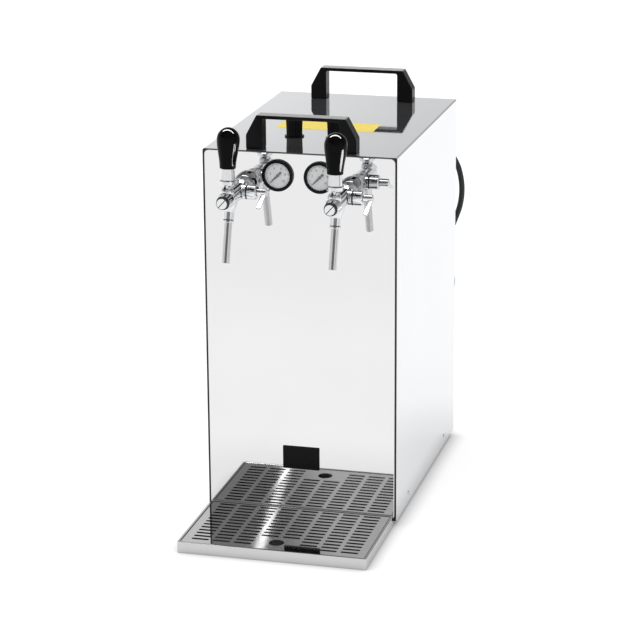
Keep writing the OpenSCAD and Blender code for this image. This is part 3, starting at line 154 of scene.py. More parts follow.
black_grips, black_bridges = (bpy.data.collections.new(name) for name in ("black_grips", "black_bridges"))
for name, at, turn, size, watts, lights_only in (
    ("overhead_card", (0, 0.12, 1.9), (0, 0, 0), (2.4, 0.3), 360, black_grips),
    ("right_card", (1.95, -0.3, 0.03), (180, 0, 85), (0.8, 1.4), 400, black_grips),
    ("back_card", (-0.76, 2.75, 1.28), (-78, 0, 15), (3, 1), 20, black_bridges),
    ("front_strip", (-0.874, -3.1, 1.18), (74.4, -15.4, 4.2), (0.024, 0.45), 0.056, None),
    ("top_strip", (-0.2, 0.3, 1.9), (0, 0, 0), (1.2, 0.25), 6, None),
):
    lamp = new_object(name, bpy.data.lights.new(name, "AREA"))
    lamp.data.shape = "RECTANGLE"
    lamp.data.size, lamp.data.size_y = size
    lamp.data.energy = watts
    lamp.location = at
    lamp.rotation_euler = [math.radians(degrees) for degrees in turn]
    lamp.visible_diffuse = False
    if lights_only:
        lamp.light_linking.receiver_collection = lights_only
    lamp.data.use_nodes = True
    tree = lamp.data.node_tree
    bounces = add_node(tree, "ShaderNodeLightPath").outputs["Diffuse Depth"]
    direct = maths(tree, "SUBTRACT", 1.0, maths(tree, "MINIMUM", bounces, 1.0))
    wire(tree, (direct, tree.nodes["Emission"], "Strength"))
for name, falls, strength, spread in (
    ("soft_daylight", (0.35, 0.2, -1), 1.55, 70), ("front_fill", (-0.1, 0.8, -0.5), 0.65, 40),
):
    lamp = new_object(name, bpy.data.lights.new(name, "SUN"))
    lamp.data.energy = strength
    lamp.data.angle = math.radians(spread)
    lamp.rotation_euler = Vector(falls).to_track_quat("-Z", "Y").to_euler()
    lamp.visible_glossy = False

floor_reach, floor_z = 12, -0.0002
lit_tone, shown_tone, glow_strength, painted_shadow_reach = 0.9, 0.4, 0.76, 0.03
foot_half_w, foot_half_d, foot_mid_y = 0.155, 0.32, -0.0125
floor_mesh = bpy.data.meshes.new("studio_floor")
floor_mesh.from_pydata(
    [(x * floor_reach, y * floor_reach, floor_z) for x, y in ((-1, -1), (1, -1), (1, 1), (-1, 1))],
    [], [(0, 1, 2, 3)],
)
studio_floor = new_object("studio_floor", floor_mesh)
floor_paint = bpy.data.materials.new("floor_paint")
floor_paint.use_nodes = True
tree = floor_paint.node_tree
tree.nodes.clear()
ray = add_node(tree, "ShaderNodeLightPath")
mirror_ray = ray.outputs["Is Glossy Ray"]
shown = maths(tree, "MAXIMUM", mirror_ray, ray.outputs["Is Transmission Ray"])
shown = maths(tree, "MAXIMUM", ray.outputs["Is Camera Ray"], shown)
plain_paint, shown_paint = (
    add_node(tree, "ShaderNodeBsdfDiffuse", Color=(tone, tone, tone, 1)) for tone in (lit_tone, shown_tone)
)
# The floor's glow grows dimmer by ambient occlusion close to the dispenser: a painted contact shadow.
painted_contact_shadow = add_node(tree, "ShaderNodeAmbientOcclusion", Distance=painted_shadow_reach)
painted_contact_shadow.samples = 16
spot = add_node(tree, "ShaderNodeSeparateXYZ")
wire(tree, (add_node(tree, "ShaderNodeTexCoord"), "Object", spot, 0))


def past(tree, value, limit):
    """How far a value, taken without its sign, goes past a limit."""
    return maths(tree, "MAXIMUM", maths(tree, "SUBTRACT", maths(tree, "ABSOLUTE", value), limit), 0.0)


# In mirrors only, the floor's glow is dimmer near the dispenser's footprint and far in front: painted shade.
beside = past(tree, spot.outputs["X"], foot_half_w)
before = past(tree, maths(tree, "SUBTRACT", spot.outputs["Y"], foot_mid_y), foot_half_d)
off_foot = maths(tree, "ADD", product(tree, beside, beside), product(tree, before, before))
mirrored = product(
    tree, graded(tree, maths(tree, "SQRT", off_foot), 0.0, 0.22, 0.84, 1.0),
    graded(tree, spot.outputs["Y"], -1.7, -1.0, 0.93, 1.0),
)
mirrored = maths(tree, "MAXIMUM", mirrored, maths(tree, "SUBTRACT", 1.0, mirror_ray))
glow, lit, pick = (add_node(tree, "ShaderNode" + kind) for kind in ("Emission", "AddShader", "MixShader"))
wire(
    tree, (product(tree, painted_contact_shadow.outputs["AO"], mirrored, glow_strength), glow, "Strength"),
    (shown_paint, 0, lit, 0), (glow, 0, lit, 1), (shown, pick, 0), (plain_paint, 0, pick, 1),
    (lit, 0, pick, 2), (pick, 0, add_node(tree, "ShaderNodeOutputMaterial"), "Surface"),
)
studio_floor.data.materials.append(floor_paint)


# Mains lead. Black rubber cord, 10 mm thick, that leaves the rear in a ribbed strain relief, hangs
# past the right side and is wound up behind the casing as for storage, held by a strap, with its
# round two-pin plug lying on the floor beside the coil.
panel_y, casing_d = -147.55, 455
millimetres = Matrix.Scale(0.001, 4)


def spun(degrees, axis):
    return Matrix.Rotation(math.radians(degrees), 4, axis)


def on_part(x, y, z, turn=Matrix()):
    """A place in millimetres from the cabinet's middle, the front panel's face and the floor."""
    return millimetres @ Matrix.Translation((x, y + panel_y, z)) @ turn


facing_front, facing_back = spun(90, "X"), spun(-90, "X")
facing_right, facing_left = spun(90, "Y"), spun(-90, "Y")


def finish(
    name, colour, rough, metal=0.0, tint=0.06, grain=300.0, bump=0.0, dent=600.0, drawn=(1, 1, 1),
    index=1.45,
):
    """A material whose tint, roughness and fine relief vary over the piece's own coordinates."""
    material = bpy.data.materials.new(name)
    material.use_nodes = True
    tree = material.node_tree
    shader = tree.nodes["Principled BSDF"]
    shader.inputs["Metallic"].default_value = metal
    shader.inputs["IOR"].default_value = index
    place = add_node(tree, "ShaderNodeTexCoord")
    stretch = add_node(tree, "ShaderNodeMapping", Scale=drawn)
    cloud = add_node(tree, "ShaderNodeTexNoise", Scale=grain, Detail=4)
    shades = add_node(tree, "ShaderNodeValToRGB")
    for end, stop, change in zip(shades.color_ramp.elements, (0.3, 0.7), (1 - tint, 1 + tint)):
        end.position = stop
        end.color = [min(1, c * change) for c in colour] + [1]
    wire(
        tree, (place, "Object", stretch, "Vector"), (stretch, 0, cloud, "Vector"),
        (cloud, "Fac", shades, "Fac"), (shades, "Color", shader, "Base Color"),
        (graded(tree, cloud.outputs["Fac"], 0.3, 0.7, *rough), shader, "Roughness"),
    )
    if bump:
        relief = add_node(tree, "ShaderNodeTexNoise", Scale=dent, Detail=3)
        raised = add_node(tree, "ShaderNodeBump", Distance=bump * 0.001, Strength=1)
        wire(
            tree, (stretch, 0, relief, "Vector"), (relief, "Fac", raised, "Height"),
            (raised, "Normal", shader, "Normal"),
        )
    return material


def curve_through(points, steps):
    """Points of a smooth line through the given ones, with a straight first and last stretch."""
    line = []
    last = len(points) - 1
    for i in range(last):
        a, b = Vector(points[max(i - 1, 0)]), Vector(points[i])
        c, d = Vector(points[i + 1]), Vector(points[min(i + 2, last)])
        count = 1 if i in (0, last - 1) else steps
        for k in range(count):
            t = k / steps
            line.append(0.5 * (
                2 * b + (c - a) * t + (2 * a - 5 * b + 4 * c - d) * t ** 2 + (3 * b - a - 3 * c + d) * t ** 3
            ))
    return line + [Vector(points[last])]


def ramp(t):
    t = min(max(t, 0), 1)
    return t * t * (3 - 2 * t)


cord_d, cord_z, gland_x, gland_z = 10, 5.2, 112.0, 520.0
lead_route = [
    (gland_x, 485, gland_z), (gland_x, 499, gland_z), (113.5, 522, 516), (120, 542, 500), (130.5, 553, 478),
    (139.5, 555, 459), (145, 555.5, 435), (146, 555, 412), (142.5, 554, 388), (133.5, 553, 362),
    (123.5, 552.5, 336), (119.5, 552, 311), (124.5, 552, 286), (130.5, 552, 264), (131, 552, 244),
    (125.5, 552, 222), (120, 552, 190), (114, 553, 150), (108, 556, 112), (101, 562, 76), (92, 571, 44),
    (78, 583, 20), (60, 594, 8), (42, 602, cord_z), (26, 606, cord_z), (10, 606, cord_z),
]
coil_loops, coil_r, coil_pitch, coil_y, coil_tail, loop_steps = 4, 44, 11, 540, 60, 32
layer_h, plug_rise = 10.6, 3.0


def coil_point(t):
    angle = math.radians(90 + 360 * t)
    r = coil_r + coil_pitch * abs(t - coil_loops / 2)
    climb = ramp((t - coil_loops / 2 + 0.25) / 0.5)
    lift = ramp((t - coil_loops + 0.25) / 0.25)
    return Vector((
        r * math.cos(angle), coil_y + r * math.sin(angle), cord_z + layer_h * climb + plug_rise * lift
    ))


lead_line = curve_through(lead_route, 6)[:-1]
lead_line += [coil_point(0) + Vector((cord_d, 0, 0))]
lead_line += [coil_point(i / loop_steps) for i in range(loop_steps * coil_loops + 1)]
lead_line += [coil_point(coil_loops) - Vector((reach, 0, 0)) for reach in (20, 40, coil_tail)]

rubber = finish("lead_rubber", (0.012, 0.012, 0.013), (0.36, 0.5), tint=0.2, grain=900, bump=0.02, dent=2500)
lead_curve = bpy.data.curves.new("rubber_lead", "CURVE")
lead_curve.dimensions = "3D"
lead_curve.bevel_depth = cord_d / 2000
lead_curve.bevel_resolution = 5
lead_curve.use_fill_caps = True
lead_spline = lead_curve.splines.new("POLY")
lead_spline.points.add(len(lead_line) - 1)
for bead, here in zip(lead_spline.points, lead_line):
    bead.co = (*(on_part(*here).translation), 1)
lead_spline.use_smooth = True
lead_curve.materials.append(rubber)
lead = new_object("rubber_lead", lead_curve)
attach(lead, "cabinet")
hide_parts("mains_lead", "lead_coil")


def eased(points, steps=4):
    """A line with its corners rounded: a third number at a corner is its radius."""
    line = []
    for i, point in enumerate(points):
        ease = point[2] if len(point) > 2 else 0
        here = Vector(point[:2])
        if not ease:
            line.append(tuple(here))
            continue
        back = Vector(points[i - 1][:2]) - here
        on = Vector(points[(i + 1) % len(points)][:2]) - here
        reach = ease / math.tan(back.angle(on) / 2)
        start = here + back.normalized() * min(reach, 0.49 * back.length)
        end = here + on.normalized() * min(reach, 0.49 * on.length)
        for k in range(steps + 1):
            t = k / steps
            line.append(tuple((1 - t) ** 2 * start + 2 * t * (1 - t) * here + t * t * end))
    return line


def lofted(bm, loops, hollow=False):
    """Skins a row of loops and closes its ends, or joins the last to the first; one point makes a tip."""
    rings = [[bm.verts.new(point) for point in loop] for loop in loops]
    count = max(len(ring) for ring in rings)
    faces = []
    for low, high in zip(rings, rings[1:] + rings[:1] if hollow else rings[1:]):
        for i in range(count):
            j = (i + 1) % count
            corners = [low[i % len(low)], low[j % len(low)], high[j % len(high)], high[i % len(high)]]
            corners = list(dict.fromkeys(corners))
            if len(corners) > 2:
                faces.append(bm.faces.new(corners))
    if not hollow:
        faces += [bm.faces.new(ring) for ring in (rings[0], rings[-1]) if len(ring) > 1]
    bmesh.ops.recalc_face_normals(bm, faces=faces)
    return faces


def turned(bm, profile, place, steps=48, hollow=False):
    """Turns a line of radius and height about the height, as on a lathe."""
    loops = []
    for radius, rise in profile:
        angles = [2 * math.pi * i / steps for i in range(1 if radius < 1e-6 else steps)]
        loops.append([place @ Vector((radius * math.cos(a), radius * math.sin(a), rise)) for a in angles])
    lofted(bm, loops, hollow)


def loop_at(outline, place, rise):
    return [place @ Vector((x, y, rise)) for x, y in outline]


def walled(bm, outer, inner, place, low, high):
    """A ring with straight walls between an outer and an inner line."""
    levels = ((outer, low), (outer, high), (inner, high), (inner, low))
    lofted(bm, [loop_at(line, place, rise) for line, rise in levels], hollow=True)


def rounded_rectangle(width, length, corner, steps=6):
    x, y = width / 2, length / 2
    return eased([(-x, -y, corner), (x, -y, corner), (x, y, corner), (-x, y, corner)], steps)


def mesh_of(name, bm):
    mesh = bpy.data.meshes.new(name)
    bm.to_mesh(mesh)
    bm.free()
    return mesh


def piece(name, bm, material, slot, *stands_for, body="cabinet", second=None):
    """Makes the finished mesh an object with even shading, and ties it to its body; its slot is not used."""
    mesh = mesh_of(name, bm)
    mesh.materials.append(material)
    if second:
        mesh.materials.append(second)
    mesh.shade_smooth()
    mesh.set_sharp_from_angle(angle=math.radians(32))
    made = new_object(name, mesh)
    even = made.modifiers.new("even_shading", "WEIGHTED_NORMAL")
    even.keep_sharp = True
    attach(made, body)
    if stands_for:
        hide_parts(*stands_for)
    return made


def turned_piece(name, line, places, steps, material, slot, *stands_for, hollow=False):
    """A piece made of one turned shape, or of several alike, each at its place."""
    bm = bmesh.new()
    for place in places:
        turned(bm, line, place, steps, hollow)
    return piece(name, bm, material, slot, *stands_for)


strap_web = finish(
    "strap_webbing", (0.02, 0.02, 0.022), (0.75, 0.95), tint=0.35, grain=2200, bump=0.1, dent=1800
)
bm = bmesh.new()
strap_w = 9
strap_outer = eased([(40.2, 0.05, 3), (70, 0.05, 3), (70, 22.3, 3), (40.2, 22.3, 3)])
strap_inner = eased([(41.4, 0.15, 2), (68.8, 0.15, 2), (68.8, 21.1, 2), (41.4, 21.1, 2)])
strap_at = on_part(0, coil_y, 0, facing_front)
walled(bm, strap_outer, strap_inner, strap_at, -strap_w / 2, strap_w / 2)
strap = piece("lead_strap", bm, strap_web, "black_rubber")

gland_at = on_part(gland_x, casing_d, gland_z, facing_back)
gland_line = [
    (0, -9), (12, -9), (12, -1.2), (7.9, -1.2), (7.9, 0.1), (12, 0.1), (12, 2, 0.6), (12, 8.5, 1.2),
    (9.4, 9.5),
]
gland_ribs, rib_pitch, rib_taper = 5, 3.9, 0.55
for i in range(gland_ribs):
    low, r = 10.2 + i * rib_pitch, 9.6 - i * rib_taper
    gland_line += [(r - 1.5, low), (r - 1.5, low + 1.0), (r, low + 1.3, 0.3), (r - 0.2, low + 3.6, 0.3)]
gland_line += [(6.6, 29.6, 0.5), (5.1, 30), (0, 30)]
turned_piece("lead_gland", eased(gland_line), [gland_at], 40, rubber, "black_rubber", "cable_gland")

plug_black = finish(
    "plug_moulding", (0.014, 0.014, 0.015), (0.42, 0.55), tint=0.15, grain=700, bump=0.03, dent=1800
)
plug_at = on_part(*lead_line[-1], facing_left)
bm = bmesh.new()
body_line = [(0, 0), (5.6, 0), (7.9, 0.8, 0.8)]
for low in (2.6, 5.4, 8.2):
    body_line += [(7.9, low), (6.9, low + 0.4), (6.9, low + 1.2), (7.9, low + 1.6)]
body_line += [
    (8, 12, 2), (14, 20, 5), (17.6, 24.5, 3), (17.6, 35, 0.6), (18.5, 35.6, 0.6), (18.5, 42, 1.2), (0, 42),
]
turned(bm, eased(body_line), plug_at, 56)
rib_count, ribbed_share, rib_r, rib_z = 18, 0.75, 17.6, 29.8
for i in range(rib_count):
    angle = 2 * math.pi * i / rib_count
    if abs(math.cos(angle)) < ribbed_share:
        continue
    rib_at = plug_at @ Matrix.Rotation(angle, 4, "Z") @ Matrix.Translation((rib_r, 0, rib_z)) @ facing_right
    lofted(bm, [
        loop_at(rounded_rectangle(wide, long, 0.3, 2), rib_at, rise)
        for wide, long, rise in ((1.4, 8.6, -0.3), (0.9, 7.9, 0.4))
    ])
plug_body = piece("plug_body", bm, plug_black, "black_rubber", "plug")

brushed_pin = finish("plug_pins", (0.62, 0.6, 0.56), (0.16, 0.28), metal=1, tint=0.08, grain=900)
pin_line = eased([(0, 41), (2.4, 41), (2.4, 58.5, 0.5), (1.7, 61, 1.0), (0, 61)])
pin_y = 9.5
pin_spots = [plug_at @ Matrix.Translation((0, y, 0)) for y in (-pin_y, pin_y)]
plug_pins = turned_piece("plug_pin_pair", pin_line, pin_spots, 24, brushed_pin, "black_rubber")


# Base pan and feet. A folded stainless pan carries everything inside, on four black rubber feet that
# are pushed through it.
def dress(material, *nodes):
    """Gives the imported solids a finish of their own."""
    for node in nodes:
        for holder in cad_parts[node].material_slots:
            holder.material = material


pan_steel = finish(
    "pan_steel", (0.62, 0.62, 0.63), (0.2, 0.34), metal=1, tint=0.06, grain=260, drawn=(0.08, 1, 1),
    bump=0.004,
)
dress(pan_steel, "base_pan")
foot_rubber = finish(
    "foot_rubber", (0.018, 0.018, 0.019), (0.6, 0.8), tint=0.25, grain=800, bump=0.05, dent=1500
)
foot_x, front_foot_y, rear_foot_y = 120, 35, 420
foot_line = eased([
    (0, 0), (12.2, 0), (13, 0.9, 0.6), (14, 3.4), (13.4, 3.9, 0.3), (13.5, 4.5, 0.3), (14.4, 5),
    (15, 7.2, 0.8), (14.4, 8), (3, 8), (3, 14.6, 0.8), (0, 15.2),
])
foot_spots = [on_part(x, y, 0) for x in (-foot_x, foot_x) for y in (front_foot_y, rear_foot_y)]
turned_piece("pan_feet", foot_line, foot_spots, 36, foot_rubber, "black_rubber", "rubber_feet")


# Cooling inside the casing, seen only through the vents: a cast aluminium block in white foam, a
# black compressor on grommets, a finned condenser with its fan, and the copper lines between them.
dress(
    finish("block_casting", (0.6, 0.61, 0.62), (0.35, 0.55), metal=1, grain=150, bump=0.05), "cooling_block"
)
dress(
    finish("white_foam", (0.78, 0.76, 0.7), (0.85, 1.0), tint=0.08, grain=350, bump=0.3, dent=500),
    "block_foam",
)
dress(
    finish("black_paint", (0.02, 0.02, 0.022), (0.28, 0.42), tint=0.2, grain=200, bump=0.04, dent=900),
    "compressor", "fan_shroud", "fan_motor",
)
dress(finish("fan_alloy", (0.5, 0.51, 0.52), (0.3, 0.45), metal=1, grain=260, bump=0.02), "fan_blade")
dress(foot_rubber, "compressor_grommets")
dress(
    finish("copper_tube", (0.66, 0.33, 0.2), (0.22, 0.4), metal=1, tint=0.18, grain=120, bump=0.01),
    "refrigerant_lines", "filter_drier",
)
dress(finish("beer_hose", (0.7, 0.7, 0.66), (0.25, 0.4), tint=0.05, grain=300), "beer_lines")
dress(finish("gas_hose", (0.02, 0.02, 0.024), (0.35, 0.5), tint=0.2, grain=400), "gas_lines")
dress(
    finish("cast_brass", (0.62, 0.46, 0.2), (0.2, 0.38), metal=1, tint=0.12, grain=300, bump=0.02),
    "regulators",
)
fin_alloy = finish(
    "fin_alloy", (0.5, 0.51, 0.53), (0.3, 0.5), metal=1, tint=0.25, grain=240, drawn=(1, 1, 0.02), bump=0.3
)
dress(fin_alloy, "condenser")


# Casing. One sheet of polished stainless steel, 1.2 mm thick, bent over the top and down both sides,
# with a rivet low on each side near the front and the rear.
mirror_steel = finish(
    "mirror_steel", (0.775, 0.783, 0.8), (0.03, 0.05), metal=0.95, tint=0.012, grain=9, bump=0.02, dent=5
)
casing_w, casing_top, foot_h, sheet_t = 310, 601, 8, 1.2
cover_y, cover_d = 1.8, casing_d - sheet_t
half, inner = casing_w / 2, casing_w / 2 - sheet_t
bm = bmesh.new()
cover_line = eased([
    (-half, foot_h), (-half, casing_top, 3), (half, casing_top, 3), (half, foot_h), (inner, foot_h),
    (inner, casing_top - sheet_t, 1.8), (-inner, casing_top - sheet_t, 1.8), (-inner, foot_h),
], 8)
lofted(bm, [loop_at(cover_line, on_part(0, 0, 0, facing_front), -y) for y in (cover_y, cover_d)])
piece("casing_sheet", bm, mirror_steel, "casing_steel", "casing_cover")


def add_nodes(tree, *kinds):
    return [tree.nodes.new("GeometryNode" + kind) for kind in kinds]


def node_tree(name, sizes):
    """A geometry tree with its named sizes as inputs, set later by their identifiers."""
    tree = bpy.data.node_groups.new(name, "GeometryNodeTree")
    for side in ("OUTPUT", "INPUT"):
        tree.interface.new_socket("Geometry", in_out=side, socket_type="NodeSocketGeometry")
    kinds = {
        float: "Float", int: "Int", tuple: "Vector", bpy.types.Object: "Object",
        bpy.types.Material: "Material",
    }
    for size_name, size in sizes.items():
        tree.interface.new_socket(size_name, in_out="INPUT", socket_type="NodeSocket" + kinds[type(size)])
    return tree, tree.nodes.new("NodeGroupInput")


def plain_mesh(holder, *helpers):
    """The finished mesh of an object, which is then taken away with its helpers."""
    bpy.context.view_layer.update()
    mesh = bpy.data.meshes.new_from_object(holder.evaluated_get(bpy.context.evaluated_depsgraph_get()))
    for used in (holder, *helpers):
        bpy.data.objects.remove(used)
    return mesh


def grown(tree, given, last, sizes, points=(), helpers=()):
    """Ends a geometry tree with real copies in their finish, runs it once and returns its plain mesh."""
    real, coat = add_nodes(tree, "RealizeInstances", "SetMaterial")
    wire(
        tree, (last, 0, real, 0), (real, 0, coat, "Geometry"), (given, "Finish", coat, "Material"),
        (coat, 0, tree.nodes.new("NodeGroupOutput"), 0),
    )
    seed = bpy.data.meshes.new(tree.name + "_seed")
    seed.from_pydata([tuple(point) for point in points], [], [])
    holder = new_object(tree.name + "_seed", seed)
    grower = holder.modifiers.new(tree.name, "NODES")
    grower.node_group = tree
    for socket in tree.interface.items_tree:
        if socket.in_out == "INPUT" and socket.name in sizes:
            grower[socket.identifier] = sizes[socket.name]
    return plain_mesh(holder, *helpers)


def repeated(name, pattern, points, material):
    """Sets one small pattern mesh at each of the points, and returns them as one mesh."""
    sample = new_object(name + "_pattern", mesh_of(name + "_pattern", pattern))
    sizes = {"Pattern": sample, "Finish": material}
    tree, given = node_tree(name, sizes)
    info, placing = add_nodes(tree, "ObjectInfo", "InstanceOnPoints")
    wire(
        tree, (given, "Geometry", placing, "Points"), (given, "Pattern", info, "Object"),
        (info, "Geometry", placing, "Instance"),
    )
    bm = bmesh.new()
    bm.from_mesh(grown(tree, given, placing, sizes, points, [sample]))
    return bm


rivet_steel = finish("rivet_steel", (0.7, 0.7, 0.71), (0.14, 0.24), metal=1, tint=0.06, grain=500)
rivet_line = eased([(0, -0.6), (3.2, -0.6), (3.2, 0.5, 0.4), (2.2, 1.3, 0.8), (0, 1.5)])
front_rivet_y, rear_rivet_y, rivet_z = 92, 374, 24
for name, x, turn in (("right", half, facing_right), ("left", -half, facing_left)):
    rivet = bmesh.new()
    turned(rivet, rivet_line, millimetres @ turn, 20)
    rivet_spots = [on_part(x, y, rivet_z).translation for y in (front_rivet_y, rear_rivet_y)]
    bm = repeated(name + "_rivets", rivet, rivet_spots, rivet_steel)
    piece(name + "_side_rivets", bm, rivet_steel, "casing_steel")


# Rear panel. A flat stainless sheet with two columns of punched vents in front of the condenser,
# held by six pan-head screws through its edges.
def slotted_sheet(name, sizes):
    """A flat sheet with rows of punched slots, some of them left out, and one round hole."""
    tree, given = node_tree(name, sizes)
    outline, slot_edge, hole, corners, slot_ends = add_nodes(
        tree, "CurvePrimitiveQuadrilateral", "CurvePrimitiveQuadrilateral", "CurvePrimitiveCircle",
        "FilletCurve", "FilletCurve",
    )
    rows, moved, left_out, placing, real, hole_moved, edges, filled, spot = add_nodes(
        tree, "MeshGrid", "Transform", "DeleteGeometry", "InstanceOnPoints", "RealizeInstances", "Transform",
        "JoinGeometry", "FillCurve", "InputPosition",
    )
    for rounding, count in ((corners, 6), (slot_ends, 4)):
        rounding.mode = "POLY"
        rounding.inputs["Count"].default_value = count
        rounding.inputs["Limit Radius"].default_value = True
    left_out.domain = "POINT"
    hole.inputs["Resolution"].default_value = 40
    spot_parts = add_node(tree, "ShaderNodeSeparateXYZ")
    off_middle = maths(tree, "ABSOLUTE", spot_parts.outputs["X"])
    in_middle = maths(tree, "LESS_THAN", off_middle, given.outputs["Plain half"])
    at_front = maths(tree, "LESS_THAN", spot_parts.outputs["Y"], given.outputs["Plain below"])
    wire(
        tree, (given, "Width", outline, "Width"), (given, "Length", outline, "Height"),
        (outline, 0, corners, "Curve"), (given, "Corner", corners, "Radius"),
        (given, "Slot length", slot_edge, "Width"), (given, "Slot width", slot_edge, "Height"),
        (slot_edge, 0, slot_ends, "Curve"), (given, "Slot ends", slot_ends, "Radius"),
        (given, "Columns", rows, "Vertices X"), (given, "Rows", rows, "Vertices Y"),
        (given, "Across", rows, "Size X"), (given, "Along", rows, "Size Y"),
        (rows, "Mesh", moved, "Geometry"), (given, "Shift", moved, "Translation"), (spot, 0, spot_parts, 0),
        (moved, 0, left_out, "Geometry"), (product(tree, in_middle, at_front), left_out, "Selection"),
        (left_out, 0, placing, "Points"), (slot_ends, 0, placing, "Instance"), (placing, 0, real, 0),
        (given, "Hole", hole, "Radius"), (hole, 0, hole_moved, "Geometry"),
        (given, "Hole at", hole_moved, "Translation"), (corners, 0, edges, 0), (real, 0, edges, 0),
        (hole_moved, 0, edges, 0), (edges, 0, filled, "Curve"),
    )
    return grown(tree, given, filled, sizes)


def sheet_metal(bm, flat, place, thick):
    """Adds a flat punched sheet with its thickness and side walls; its upper face lies on the place."""
    part = bmesh.new()
    part.from_mesh(flat)
    bmesh.ops.remove_doubles(part, verts=part.verts, dist=1e-4)
    for face in part.faces:
        if face.normal.z < 0:
            face.normal_flip()
    rims = [edge for edge in part.edges if edge.is_boundary]
    lower = {vert: part.verts.new(vert.co - Vector((0, 0, thick))) for vert in list(part.verts)}
    for face in list(part.faces):
        part.faces.new([lower[vert] for vert in reversed(face.verts)])
    for edge in rims:
        first, second = edge.link_loops[0].vert, edge.link_loops[0].link_loop_next.vert
        part.faces.new((second, first, lower[first], lower[second]))
    part.transform(place)
    bm.from_mesh(mesh_of("punched_sheet", part))


rear_steel = finish(
    "rear_steel", (0.66, 0.66, 0.67), (0.2, 0.3), metal=1, tint=0.05, grain=260, drawn=(0.02, 1, 1),
    bump=0.002, dent=420,
)
vent_z, vent_rows, vent_pitch = 330.2, 14, 14.0
rear_h = casing_top - foot_h
rear_mid = foot_h + rear_h / 2
vents = slotted_sheet("vent_slots", {
    "Width": float(casing_w), "Length": float(rear_h), "Corner": 2.5, "Slot length": 95.0, "Slot width": 6.0,
    "Slot ends": 2.9, "Columns": 2, "Rows": vent_rows, "Across": 107.0, "Along": (vent_rows - 1) * vent_pitch,
    "Shift": (0.0, vent_z - rear_mid, 0.0), "Plain half": 0.0, "Plain below": 0.0, "Hole": 8.0,
    "Hole at": (-gland_x, gland_z - rear_mid, 0.0), "Finish": rear_steel,
})
bm = bmesh.new()
sheet_metal(bm, vents, on_part(0, casing_d, rear_mid, facing_back @ spun(180, "Z")), sheet_t)
piece("rear_sheet", bm, rear_steel, "casing_steel", "rear_panel")


def screw_head(head_r, head_h, place, count=36):
    """A pan head with a six-sided socket."""
    round_levels = ((1, 0), (1, 0.35), (0.93, 0.68), (0.78, 0.9), (0.6, 1))
    socket_levels = ((0.4, 1), (0.37, 0.35))
    wedge = math.pi / 3
    loops = []
    for level in round_levels + socket_levels:
        loop = []
        for i in range(count):
            a = 2 * math.pi * i / count
            r = head_r * level[0]
            if level in socket_levels:
                r /= math.cos(a % wedge - wedge / 2)
            loop.append(place @ Vector((r * math.cos(a), r * math.sin(a), head_h * level[1])))
        loops.append(loop)
    bm = bmesh.new()
    lofted(bm, loops)
    return bm


screw_steel = finish("screw_steel", (0.66, 0.66, 0.67), (0.16, 0.28), metal=1, tint=0.08, grain=700)
screw_x, screw_zs = 148, (18, 304.5, 561)
screw_spots = [on_part(x, casing_d, z).translation for x in (-screw_x, screw_x) for z in screw_zs]
bm = repeated("rear_screws", screw_head(3.5, 2.2, millimetres @ facing_back), screw_spots, screw_steel)
piece("rear_screw_heads", bm, screw_steel, "casing_steel", "casing_screws")


# Front panel. A mirror-polished stainless tray, 12 mm deep with rounded corners, set in the front of the
# casing in a black rubber seal whose lip shows as a thin dark line; a bare black plate is stuck on it.
def raised(bm, width, length, place, levels, steps=6):
    """A rounded rectangle drawn through levels, each with its tuck, its rise and its corners' radius."""
    return lofted(bm, [
        loop_at(rounded_rectangle(width - 2 * tuck, length - 2 * tuck, corner, steps), place, rise)
        for tuck, rise, corner in levels
    ])


panel_steel = finish(
    "panel_mirror", (0.76, 0.76, 0.76), (0.018, 0.035), metal=1, tint=0.01, grain=7, bump=0.012, dent=4
)
panel_w, panel_h, panel_mid, panel_r, panel_deep, fold = 304.6, 589.3, 305.35, 9, 12, 1.4
panel_levels = []
for k in range(6):
    a = math.radians(18 * k)
    tuck = fold * (1 - math.sin(a))
    panel_levels.append((tuck, -fold * (1 - math.cos(a)), panel_r - tuck))
panel_levels += [
    (0, -panel_deep, panel_r), (sheet_t, -panel_deep, panel_r - sheet_t),
    (sheet_t, -sheet_t, panel_r - sheet_t),
]
bm = bmesh.new()
raised(bm, panel_w, panel_h, on_part(0, 0, panel_mid, facing_front), panel_levels, 8)
piece("mirror_front", bm, panel_steel, "polished_steel", "front_panel")
dress(
    finish("seal_rubber", (0.012, 0.012, 0.013), (0.5, 0.7), tint=0.2, grain=900, bump=0.02), "panel_seal"
)

plate_black = finish(
    "plate_black", (0.003, 0.003, 0.0035), (0.16, 0.26), tint=0.2, grain=160, bump=0.006, dent=300, index=1.2
)
plate_w, plate_h, plate_z, plate_r = 60, 38, 103.5, 1.2
bm = bmesh.new()
raised(bm, plate_w, plate_h, on_part(0, 0, plate_z, facing_front), [
    (tuck, rise, plate_r) for tuck, rise in ((0, 0), (0, 1.1), (0.15, 1.35), (0.5, 1.5))
])
piece("bare_plate", bm, plate_black, "black_gloss", "name_plate")


